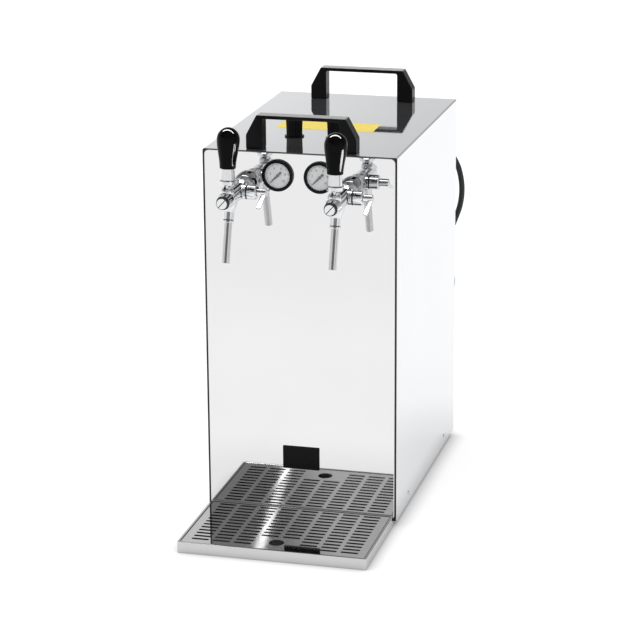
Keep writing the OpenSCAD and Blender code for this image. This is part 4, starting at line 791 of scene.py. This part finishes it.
# Carry handles. Two bridges moulded in black plastic stand across the top, one at the front and one at
# the rear, each held by screws from inside through the casing's top.
moulded_black = finish(
    "moulded_black", (0.003, 0.003, 0.0035), (0.24, 0.34), tint=0.2, grain=900, bump=0.012, dent=1600,
    index=1.2,
)
bridge_line = [
    (-88, 0), (-88, 22), (-71, 53.5), (71, 53.5), (88, 22), (88, 0), (61.5, 0), (61.5, 46), (59.5, 48),
    (-59.5, 48), (-61.5, 46), (-61.5, 0),
]
bridge_deep, bridge_ease = 24, 0.0019
for name, y in (("front", 36), ("rear", 433)):
    bm = bmesh.new()
    bridge_at = on_part(0, y, casing_top, facing_front)
    lofted(bm, [loop_at(bridge_line, bridge_at, rise) for rise in (0, bridge_deep)])
    corners = [edge for edge in bm.edges if edge.calc_face_angle(0) > math.radians(25)]
    bmesh.ops.bevel(
        bm, geom=corners, offset=bridge_ease, offset_type="OFFSET", segments=4, profile=0.5, affect="EDGES",
        clamp_overlap=True,
    )
    bridge = piece(name + "_bridge", bm, moulded_black, "black_plastic", name + "_carry_handle")
    black_bridges.objects.link(bridge)
dress(screw_steel, "handle_screws")


# Pressure regulators. Two fluted black knobs stand on the top behind the front carry handle, each on a
# spindle through a thin lock nut.
def fluted(bm, place, levels, flutes, depth, count=8):
    """A knob with round flutes; each level gives its radius, its height and how deep its flutes are."""
    loops = []
    for radius, rise, share in levels:
        loop = []
        for i in range(flutes * count):
            a = 2 * math.pi * i / (flutes * count)
            r = radius - depth * share * (0.5 - 0.5 * math.cos(flutes * a)) ** 2
            loop.append(place @ Vector((r * math.cos(a), r * math.sin(a), rise)))
        loops.append(loop)
    lofted(bm, loops)


knob_black = finish(
    "knob_black", (0.004, 0.004, 0.005), (0.26, 0.4), tint=0.25, grain=900, bump=0.02, dent=1800, index=1.2
)
knob_spots = [("left", -37.5), ("right", 29.5)]
knob_y, nut_t, knob_gap = 114, 2, 0.3
nut_line = eased([(9.1, 0), (15.5, 0, 0.3), (15.5, nut_t, 0.7), (9.1, nut_t)])
nut_spots = [on_part(x, knob_y, casing_top) for _, x in knob_spots]
turned_piece(
    "regulator_lock_nuts", nut_line, nut_spots, 48, knob_black, "black_plastic", "regulator_nuts", hollow=True
)
for name, x in knob_spots:
    bm = bmesh.new()
    knob_at = on_part(x, knob_y, casing_top + nut_t + knob_gap)
    fluted(bm, knob_at, [
        (11.6, 0, 0), (12.4, 0.4, 0.2), (12.6, 1.5, 0.9), (12.6, 4, 1), (13.2, 24, 1), (13.45, 27.6, 0.9),
        (13.0, 29.0, 0.5), (12.2, 29.8, 0.2), (11.2, 30, 0), (9.6, 29.6, 0), (9.2, 29.3, 0),
    ], 18, 0.9)
    turned(bm, [(0, -29), (4, -29), (4, 0.2), (0, 0.2)], knob_at, 24)
    piece(
        name + "_fluted_knob", bm, knob_black, "black_plastic", name + "_regulator_knob", body=name + "_knob"
    )


# Pressure gauges. Round 50 mm instruments pressed through the panel: black case and bezel, white dial
# printed with plain numbers, a black pointer on its staff, and a flat clear lens.
bezel_black = finish(
    "bezel_black", (0.003, 0.003, 0.0035), (0.2, 0.32), tint=0.2, grain=900, bump=0.008, dent=1500, index=1.2
)
dial_white = finish("dial_white", (0.66, 0.665, 0.675), (0.4, 0.55), tint=0.03, grain=500)
dial_ink = finish("dial_ink", (0.02, 0.02, 0.02), (0.5, 0.65), tint=0.15, grain=900)
gauge_z, gauge_x = 564.5, 33.5
gauges = {
    side: on_part(x, 0, gauge_z, facing_front) for side, x in (("left", -gauge_x), ("right", gauge_x))
}
case_line = eased([
    (0, -36), (6, -36, 0.5), (6, -28), (23, -28, 1), (23, 0), (25, 0, 0.2), (25, 5, 1.2), (21.2, 5, 0.7),
    (19.9, 4.4, 0.2), (19.9, 0.6), (0, 0.6),
])
dial_r, dial_back, dial_face = 19.75, 0.65, 1.4
dial_line = [(0, dial_back), (dial_r, dial_back), (dial_r, dial_face), (0, dial_face)]
turned_piece("gauge_bodies", case_line, gauges.values(), 72, bezel_black, "black_plastic", "gauge_cases")
turned_piece("dial_discs", dial_line, gauges.values(), 64, dial_white, "dial_face", "gauge_dials")

scale_start, scale_sweep = 225, -270


def dial_ticks(name, count, radius, long, wide, material):
    """Ticks round three quarters of a dial, from the lower left to the lower right."""
    sizes = {
        "Count": count, "Radius": radius, "Tick": (long, wide, 0.12), "Start": math.radians(scale_start),
        "Step": math.radians(scale_sweep) / (count - 1), "Finish": material,
    }
    tree, given = node_tree(name, sizes)
    row, index, spread, tick, placing = add_nodes(
        tree, "Points", "InputIndex", "SetPosition", "MeshCube", "InstanceOnPoints"
    )
    where, turn = (add_node(tree, "ShaderNodeCombineXYZ") for _ in range(2))
    reach = given.outputs["Radius"]
    angle = maths(
        tree, "ADD", given.outputs["Start"], product(tree, index.outputs[0], given.outputs["Step"])
    )
    wire(
        tree, (given, "Count", row, "Count"), (given, "Tick", tick, "Size"), (angle, turn, "Z"),
        (product(tree, maths(tree, "COSINE", angle), reach), where, "X"),
        (product(tree, maths(tree, "SINE", angle), reach), where, "Y"),
        (row, 0, spread, "Geometry"), (where, 0, spread, "Position"),
        (spread, 0, placing, "Points"), (tick, "Mesh", placing, "Instance"), (turn, 0, placing, "Rotation"),
    )
    return grown(tree, given, placing, sizes)


def dial_figures(bm, numbers, size, radius, rise, place):
    """Plain numbers spread over the same sweep as the ticks, filled and as thin as print."""
    for i, number in enumerate(numbers):
        lettering = bpy.data.curves.new("figure", "FONT")
        lettering.body = str(number)
        lettering.size = size
        lettering.align_x = "CENTER"
        lettering.align_y = "CENTER"
        lettering.extrude = 0.03
        lettering.offset = 0.012 * size
        mesh = plain_mesh(new_object("figure", lettering))
        a = math.radians(scale_start + scale_sweep * i / (len(numbers) - 1))
        mesh.transform(place @ Matrix.Translation((radius * math.cos(a), radius * math.sin(a), rise)))
        bm.from_mesh(mesh)


bm = bmesh.new()
for ticks in (
    dial_ticks("fine_ticks", 51, 17.6, 1.6, 0.32, dial_ink),
    dial_ticks("long_ticks", 11, 17.0, 2.8, 0.7, dial_ink),
):
    for gauge_at in gauges.values():
        printed = ticks.copy()
        printed.transform(gauge_at @ Matrix.Translation((0, 0, dial_face + 0.02)))
        bm.from_mesh(printed)
for gauge_at in gauges.values():
    dial_figures(bm, range(0, 11, 2), 5.2, 12.2, dial_face + 0.03, gauge_at)
piece("dial_print", bm, dial_ink, "needle_black")

needle_ink = finish("needle_black", (0.008, 0.008, 0.009), (0.35, 0.5), tint=0.2, grain=900)
needle_line = [
    (-8, -1.4), (-7.4, -2), (-2.5, -1.6), (3, -1.65), (16, -0.65), (16, 0.65), (3, 1.65), (-2.5, 1.6),
    (-7.4, 2), (-8, 1.4),
]
for name, gauge_at in gauges.items():
    bm = bmesh.new()
    needle_at = gauge_at @ spun(scale_start, "Z")
    lofted(bm, [loop_at(needle_line, needle_at, rise) for rise in (2.0, 2.5)])
    turned(bm, eased([(0, 1.7), (2.4, 1.7), (2.4, 3.1, 0.5), (0, 3.4)]), needle_at, 28)
    turned(bm, [(0, -5), (0.75, -5), (0.75, 1.8), (0, 1.8)], needle_at, 16)
    piece(name + "_pointer", bm, needle_ink, "needle_black", name + "_gauge_needle", body=name + "_needle")

lens_clear = finish("lens_clear", (0.9, 0.92, 0.93), (0.02, 0.05), tint=0.01, grain=60)
lens_clear.node_tree.nodes["Principled BSDF"].inputs["Alpha"].default_value = 0.1
dress(lens_clear, "gauge_glasses")


# Taps. Each is chromed brass: a domed rosette on the panel, a ring nut, a barrel with the flow
# compensator at its right, a slotted plug in its nose and a leaning steel spout under it. The rosettes take a
# darker copy of the chrome as a painted dark reflection, and the grooves and the plugs a dark material as
# painted shade.
# The rosette domes take a darker copy of the tap chrome: a painted dark reflection.
chrome, dome_chrome = (
    finish(name, colour, (0.03, 0.06), metal=1, tint=0.03, grain=160, bump=0.0015, dent=160)
    for name, colour in (("tap_chrome", (0.74, 0.75, 0.765)), ("dome_chrome", (0.42, 0.43, 0.44)))
)
tap_z, tap_x = 549, 83.5
taps = [("left", -tap_x), ("right", tap_x)]


def on_tap(x, turn=Matrix(), u=0.0, z=0.0):
    """A place on a tap: how far it stands out of the panel, and how far above the tap's axis."""
    return on_part(x, -u, tap_z + z, turn)


def quarter_round(r, rise, wide, high, degrees):
    return [(r + wide * math.cos(math.radians(a)), rise + high * math.sin(math.radians(a))) for a in degrees]


dome_h = 21
dome_line = [(0, 0), (19.4, 0), (20, 0.6), (20, 1.8)]
dome_line += quarter_round(13.5, 0, 6.5, dome_h, range(10, 90, 5)) + [(13.5, dome_h), (0, dome_h)]
dome_spots = [on_tap(x, facing_front) for _, x in taps]
turned_piece("rosette_domes", dome_line, dome_spots, 64, dome_chrome, "tap_chrome", "tap_rosettes")
bm = bmesh.new()
for _, x in taps:
    fluted(bm, on_tap(x, facing_front, dome_h), [
        (9, 0, 0), (14.2, 0, 0), (14.9, 0.7, 0), (14.9, 1.6, 0), (15.5, 2.4, 0.5), (15.5, 3.2, 1),
        (15.5, 15.8, 1), (15.5, 16.6, 0.5), (14.9, 17.4, 0), (14.9, 18.3, 0), (14.2, 19, 0), (9, 19, 0),
    ], 40, 0.45, 4)
piece("ring_nuts", bm, chrome, "tap_chrome", "coupling_nuts")
dress(chrome, "tap_shanks", "left_handle_stem", "right_handle_stem")
plunger_steel = finish("plunger_steel", (0.6, 0.58, 0.54), (0.2, 0.32), metal=1, tint=0.08, grain=400)
dress(plunger_steel, "left_plunger", "right_plunger")


def cut(bm, width, depth, rise, place):
    """Takes a block out of a closed mesh, and returns what is left."""
    cutter = bmesh.new()
    corner = min(width, depth) / 20
    raised(cutter, width, depth, place, [(0, 0, corner), (0, rise, corner)], 2)
    stock = new_object("stock", mesh_of("stock", bm))
    tool = new_object("cutter", mesh_of("cutter", cutter))
    cutting = stock.modifiers.new("cut", "BOOLEAN")
    cutting.operation = "DIFFERENCE"
    cutting.solver = "EXACT"
    cutting.object = tool
    return plain_mesh(stock, tool)


# A dark material given to the grooves of the chromed parts and to the plugs as painted shade; the chrome
# itself is no darker there.
seam_dark = finish("seam_dark", (0.05, 0.05, 0.052), (0.35, 0.5), metal=0.5, tint=0.2, grain=400, bump=0.01)


def darkened(bm, place, low, high, outside):
    """Paints shade on the walls of a turned groove: gives them the dark second material between two heights,
    and inside a radius.
    """
    back = place.inverted()
    for face in bm.faces:
        at = back @ face.calc_center_median()
        if low < at.z < high and 0 < math.hypot(at.x, at.y) < outside:
            face.material_index = 1


spout_slant, spout_drop = 16.5, 96
spout_lean = spun(-spout_slant, "X") @ spun(180, "X")
compensator_u, pivot_u, spout_u, pivot_rise, post_r = 53.5, 106, 92.6, 11, 10.5
stem_gap_w, stem_gap_l, stem_gap_h = 7, 16.4, 30
for name, x in taps:
    barrel_at, side_at = on_tap(x, facing_front), on_tap(x, facing_right, compensator_u)
    spout_at = on_tap(x, spout_lean, spout_u)
    bm = bmesh.new()
    turned(bm, eased([
        (0, 36), (10, 36), (10, 43.4), (13, 46.2, 1.5), (13, 66), (12.5, 66.4), (12.5, 67.4), (13, 67.8),
        (13, 113, 6), (10.7, 129.2, 0.6), (9.6, 130), (0, 130),
    ]), barrel_at, 56)
    turned(bm, eased([
        (0, 0), (11.5, 0), (11.5, 15.2), (10.8, 15.8), (10.8, 17.2), (11.5, 17.8), (11.5, 30.6, 1.2),
        (9.4, 32, 0.6), (0, 32),
    ]), side_at, 48)
    post = bmesh.new()
    post_line = [(0, 0), (post_r, 0)] + quarter_round(0, pivot_rise, post_r, post_r, range(0, 90, 9))
    turned(post, post_line + [(0, pivot_rise + post_r)], on_tap(x, u=pivot_u), 48)
    bm.from_mesh(cut(post, stem_gap_w, stem_gap_l, stem_gap_h, on_tap(x, u=pivot_u, z=-1)))
    turned(bm, eased([
        (0, 2), (12.6, 2), (12.2, 9, 3), (9.2, 17.5, 4), (8.35, 22, 3), (8.35, 33.6), (7.9, 34), (7.9, 34.8),
        (8.35, 35.2), (8.35, 38.6, 0.7), (6.05, 38.6), (0, 38.5),
    ]), spout_at, 44)
    # The grooves of barrel, nose, compensator and spout get painted shade.
    darkened(bm, barrel_at, 65.9, 67.9, 12.9)
    darkened(bm, barrel_at, 129.3, 131, 12)
    darkened(bm, side_at, 15.3, 17.7, 11.3)
    darkened(bm, spout_at, 33.8, 35.1, 8.2)
    piece(name + "_barrel", bm, chrome, "tap_chrome", name + "_tap_body", second=seam_dark)

plug_back, nose_end, plug_end = 126.6, 130.1, 136
slot_l, slot_w, slot_h, slot_floor, slot_turn = 22, 1.3, 6, 134.6, 48
plug_line = eased([
    (0, plug_back), (6.4, plug_back, 0.4), (6.4, nose_end), (9.25, nose_end, 0.2),
    (9.25, plug_end - 1.2, 0.4), (7.9, plug_end, 0.2), (0, plug_end),
])
bm = bmesh.new()
for _, x in taps:
    head = bmesh.new()
    turned(head, plug_line, on_tap(x, facing_front), 48)
    slot_at = on_tap(x, facing_front @ spun(slot_turn, "Z")) @ Matrix.Translation((0, 0, slot_floor))
    bm.from_mesh(cut(head, slot_l, slot_w, slot_h, slot_at))
# Every face of the plugs behind their front face, the slot's walls and floor among them, gets the dark
# material as painted shade.
plug_front = on_tap(0, u=plug_end - 0.1).translation.y
for face in bm.faces:
    if face.calc_center_median().y > plug_front:
        face.material_index = 1
piece("nose_plugs", bm, chrome, "tap_chrome", "tap_front_plugs", second=seam_dark)

spout_steel = finish(
    "spout_steel", (0.58, 0.58, 0.59), (0.03, 0.05), metal=1, tint=0.03, grain=200, bump=0.003
)
spout_end = spout_drop / math.cos(math.radians(spout_slant))
spout_line = eased([(5, 20.8), (6, 20.8), (6, spout_end, 0.4), (5, spout_end, 0.3)])
spout_spots = [on_tap(x, spout_lean, spout_u) for _, x in taps]
turned_piece("spout_tubes", spout_line, spout_spots, 40, spout_steel, "tap_chrome", "spouts", hollow=True)

lever_dip, paddle_x = spun(25, "X"), 43
paddle = eased([(4, 3), (4, -34), (3.5, -40, 3.4), (-3.5, -40, 3.4), (-4, -34), (-4, 3)], 6)
rounding = [(0.62, -1.5), (0.8, -1.28), (0.95, -0.85), (1, -0.3)]
rounding += [(width, -rise) for width, rise in reversed(rounding)]
for name, x in taps:
    bm = bmesh.new()
    lever_at = on_tap(x, facing_right, compensator_u)
    turned(bm, [(0, -8), (4, -8), (4, 32.4), (0, 32.4)], lever_at, 32)
    turned(bm, eased([(0, 32.3), (6, 32.3, 0.5), (6, 46.2, 0.9), (4.8, 47, 0.5), (0, 47)]), lever_at, 40)
    paddle_at = on_tap(x, lever_dip, compensator_u) @ Matrix.Translation((paddle_x, 0, 0))
    lofted(bm, [
        loop_at([(px * width, py * (0.9 + 0.1 * width)) for px, py in paddle], paddle_at, rise)
        for width, rise in rounding
    ])
    piece(name + "_flow_paddle", bm, chrome, "tap_chrome", name + "_flow_lever", body=name + "_lever")


# Tap handles. A chromed ring and ferrule screwed on a steel stem, and a turned grip of glossy black
# plastic that swells to its rounded head; handle, ring and ferrule swing together on the tap's pin.
grip_black = finish(
    "grip_black", (0.002, 0.002, 0.0024), (0.04, 0.08), tint=0.2, grain=160, bump=0.002, dent=300, index=1.15
)
handle_lean = spun(-7, "X")
ring_z, ferrule_z, hand_z = 11, 18, 36.3
hand_foot_r, hand_r, hand_wide, hand_l, hand_steps = 12.3, 17.5, 44, 62.4, 20
ferrule_line = eased([
    (0, ring_z), (11.4, ring_z, 0.4), (12.5, ring_z + 1, 0.6), (12.5, ring_z + 6, 0.6),
    (11.4, ferrule_z, 0.4), (10.9, ferrule_z + 0.4), (11.5, ferrule_z + 1.2, 0.6), (10.2, hand_z - 0.7, 0.5),
    (9.8, hand_z), (0, hand_z),
])
grip_line = [(0, hand_z), (11.7, hand_z)]
for k in range(hand_steps + 1):
    swell = hand_foot_r + (hand_r - hand_foot_r) * ramp(k / hand_steps)
    grip_line.append((swell, hand_z + 0.6 + (hand_wide - 0.6) * k / hand_steps))
grip_line += quarter_round(0, hand_z + hand_wide, hand_r, hand_l - hand_wide, range(6, 90, 6))
grip_line.append((0, hand_z + hand_l))
for name, x in taps:
    handle_at = on_tap(x, handle_lean, pivot_u, pivot_rise)
    bm = bmesh.new()
    turned(bm, ferrule_line, handle_at, 56)
    # The groove between ring and ferrule gets painted shade.
    darkened(bm, handle_at, ferrule_z, ferrule_z + 1.1, 11.3)
    piece(
        name + "_ring_and_ferrule", bm, chrome, "tap_chrome", name + "_handle_ferrule", body=name + "_handle",
        second=seam_dark,
    )
    bm = bmesh.new()
    turned(bm, grip_line, handle_at, 64)
    grip = piece(
        name + "_grip", bm, grip_black, "black_gloss", name + "_handle_grip", body=name + "_handle"
    )
    black_grips.objects.link(grip)


# Drip tray. A shallow folded stainless tray that slides under the taps, with its rim turned in, and the
# punched grid that lies in it on its own folded skirt, with a finger hole to lift it. The inside of the tray
# is given a dark, rougher steel as painted shade.
tray_steel = finish(
    "tray_steel", (0.6, 0.6, 0.605), (0.05, 0.09), metal=1, tint=0.02, grain=40, bump=0.003, dent=30
)
# A dark, rougher steel for the tray's inside walls and floor: its darkness is painted shade inside the tray.
tray_dull = finish(
    "tray_dull", (0.14, 0.14, 0.14), (0.4, 0.55), metal=1, tint=0.2, grain=90, bump=0.03, dent=200
)
tray_w, tray_l, tray_h, tray_t, rim = 302.5, 184.6, 18.4, 1.2, 4
tray_mid = -0.3 - tray_l / 2
tray_at = on_part(0, tray_mid, 0)
outside_levels = [
    (0.9, 0, 2.1), (0.25, 0.3, 2.75), (0, 0.9, 3), (0, tray_h - 1.0, 3), (0.3, tray_h - 0.3, 2.7),
    (1.0, tray_h, 2), (rim - 0.3, tray_h, 0.8), (rim, tray_h - 0.3, 0.5), (rim, tray_h - tray_t, 0.5),
]
inside_levels = [
    (tray_t, tray_h - tray_t, 1.8), (tray_t, tray_t + 0.8, 1.8), (tray_t + 0.8, tray_t, 1.0),
]
bm = bmesh.new()
tray_faces = raised(bm, tray_w, tray_l, tray_at, outside_levels + inside_levels, 5)
*tray_walls, _, tray_floor = tray_faces
# The inside walls and the floor take the second material, the painted shade.
inside_walls = len(tray_walls) * (len(inside_levels) - 1) // (len(outside_levels + inside_levels) - 1)
for face in tray_walls[-inside_walls:] + [tray_floor]:
    face.material_index = 1
piece("folded_tray", bm, tray_steel, "polished_steel", "drip_tray", body="tray", second=tray_dull)

grid_steel = finish(
    "grid_steel", (0.8, 0.8, 0.8), (0.03, 0.06), metal=1, tint=0.03, grain=60, bump=0.002, dent=25
)
grid_w, grid_l, grid_z, grid_t, skirt_z = 292.5, 174.6, 17.6, 1.2, 1.5
row_pitch, rows, first_row, columns, column_pitch = 12.6, 13, 13, 8, 34.1
rows_mid = -first_row - (rows - 1) / 2 * row_pitch
hole_y = -first_row - 11 * row_pitch
plain_y = -first_row - 9.5 * row_pitch
grid = slotted_sheet("grid_slots", {
    "Width": grid_w, "Length": grid_l, "Corner": 0.8, "Slot length": 28.0, "Slot width": 6.0,
    "Slot ends": 2.2, "Columns": columns, "Rows": rows, "Across": (columns - 1) * column_pitch,
    "Along": (rows - 1) * row_pitch,
    "Shift": (0.0, rows_mid - tray_mid, 0.0), "Plain half": 20.0, "Plain below": plain_y - tray_mid,
    "Hole": 12.0, "Hole at": (0.0, hole_y - tray_mid, 0.0), "Finish": grid_steel,
})
bm = bmesh.new()
sheet_metal(bm, grid, on_part(0, tray_mid, grid_z), grid_t)
skirt_outer = rounded_rectangle(grid_w, grid_l, 0.8)
skirt_inner = rounded_rectangle(grid_w - 2 * grid_t, grid_l - 2 * grid_t, 0.4)
walled(bm, skirt_outer, skirt_inner, tray_at, skirt_z, grid_z - grid_t)
piece("punched_grid", bm, grid_steel, "polished_steel", "drip_grid", body="grid")


# Rear fittings. Push-in unions for the two beer lines and three gas lines, and the thermostat's knob with
# a plain numbered scale printed round it.
union_grey = finish("union_grey", (0.2, 0.2, 0.21), (0.3, 0.45), tint=0.1, grain=700, bump=0.01)
union_black = finish("union_black", (0.014, 0.014, 0.016), (0.3, 0.45), tint=0.2, grain=700, bump=0.01)
beer_z, gas_z, union_r = 500, 540, 9
for name, xs, z, bore_r, material, slot, node in (
    ("beer_unions", (-84, 84), beer_z, 4.75, union_grey, "tap_chrome", "beer_inlets"),
    ("gas_unions", (-37, 0, 37), gas_z, 4.0, union_black, "black_plastic", "gas_ports"),
):
    union_line = eased([
        (bore_r - 1, -20), (6.9, -20), (6.9, -7.2), (11, -7.2, 0.6), (11, -1.3, 0.6), (7, -1.3), (7, 0),
        (union_r, 0, 0.5), (union_r, 6.4, 0.8), (union_r - 0.8, 7.2), (union_r - 0.8, 15.4),
        (union_r - 0.1, 16.2, 0.5), (union_r - 0.1, 21.4, 0.8), (union_r - 1.6, 22.2), (union_r - 2.2, 22.4),
        (union_r - 2.2, 24, 0.3), (union_r - 1.4, 24.3, 0.2), (union_r - 1.4, 25, 0.4),
        (bore_r + 0.15, 25, 0.4), (bore_r + 0.15, 7), (bore_r - 1, 6.6),
    ])
    union_spots = [on_part(x, casing_d, z, facing_back) for x in xs]
    turned_piece(name, union_line, union_spots, 40, material, slot, node, hollow=True)

dress(moulded_black, "thermostat")
cold_x, cold_z, cold_top = -100, 540, 18
cold_at = on_part(cold_x, casing_d, cold_z, facing_back)
bm = bmesh.new()
fluted(bm, cold_at, [
    (14.6, 3.3, 0), (15.6, 3.6, 0), (16, 4.2, 0), (16, 6, 0), (15.2, 7, 0.4), (14.6, 8.4, 1), (13.4, 16.6, 1),
    (12.8, 17.6, 0.5), (12, cold_top, 0),
], 16, 1.1)
turned(bm, [(0, -12), (3, -12), (3, 3.4), (0, 3.4)], cold_at, 20)
piece("cold_dial", bm, knob_black, "black_plastic", "thermostat_knob", body="cold_knob")
knob_mark = finish("knob_mark", (0.75, 0.75, 0.74), (0.4, 0.55), tint=0.04, grain=600)
bm = bmesh.new()
mark_w, mark_l, mark_y, mark_r = 1.4, 8, -7.4, 0.5
mark_at = cold_at @ Matrix.Translation((0, mark_y, 0))
raised(bm, mark_w, mark_l, mark_at, [(0, cold_top - 0.1, mark_r), (0, cold_top + 0.15, mark_r)], 3)
piece("cold_dial_mark", bm, knob_mark, "black_plastic", body="cold_knob")
bm = bmesh.new()
scale_print = dial_ticks("cold_ticks", 7, 18.6, 2.0, 0.6, dial_ink)
facing_out = cold_at @ spun(180, "Z")
scale_print.transform(facing_out @ Matrix.Translation((0, 0, 0.08)))
bm.from_mesh(scale_print)
dial_figures(bm, range(1, 8), 4.4, 23, 0.06, facing_out)
piece("cold_scale", bm, dial_ink, "needle_black")


# Foil. A plain yellow patch of self-adhesive film with rounded corners, stuck flat on the top between the
# knobs and the rear carry handle.
foil_yellow = finish(
    "foil_yellow", (0.99, 0.79, 0.17), (0.45, 0.6), tint=0.03, grain=120, bump=0.01, dent=60, index=1.2
)
foil_w, foil_l, foil_x, foil_y, foil_r = 160, 60, -4, 200, 3
bm = bmesh.new()
raised(bm, foil_w, foil_l, on_part(foil_x, foil_y, casing_top), [
    (tuck, rise, foil_r) for tuck, rise in ((0, 0.02), (0, 0.12), (0.1, 0.18))
])
piece("yellow_foil", bm, foil_yellow, "dial_face")
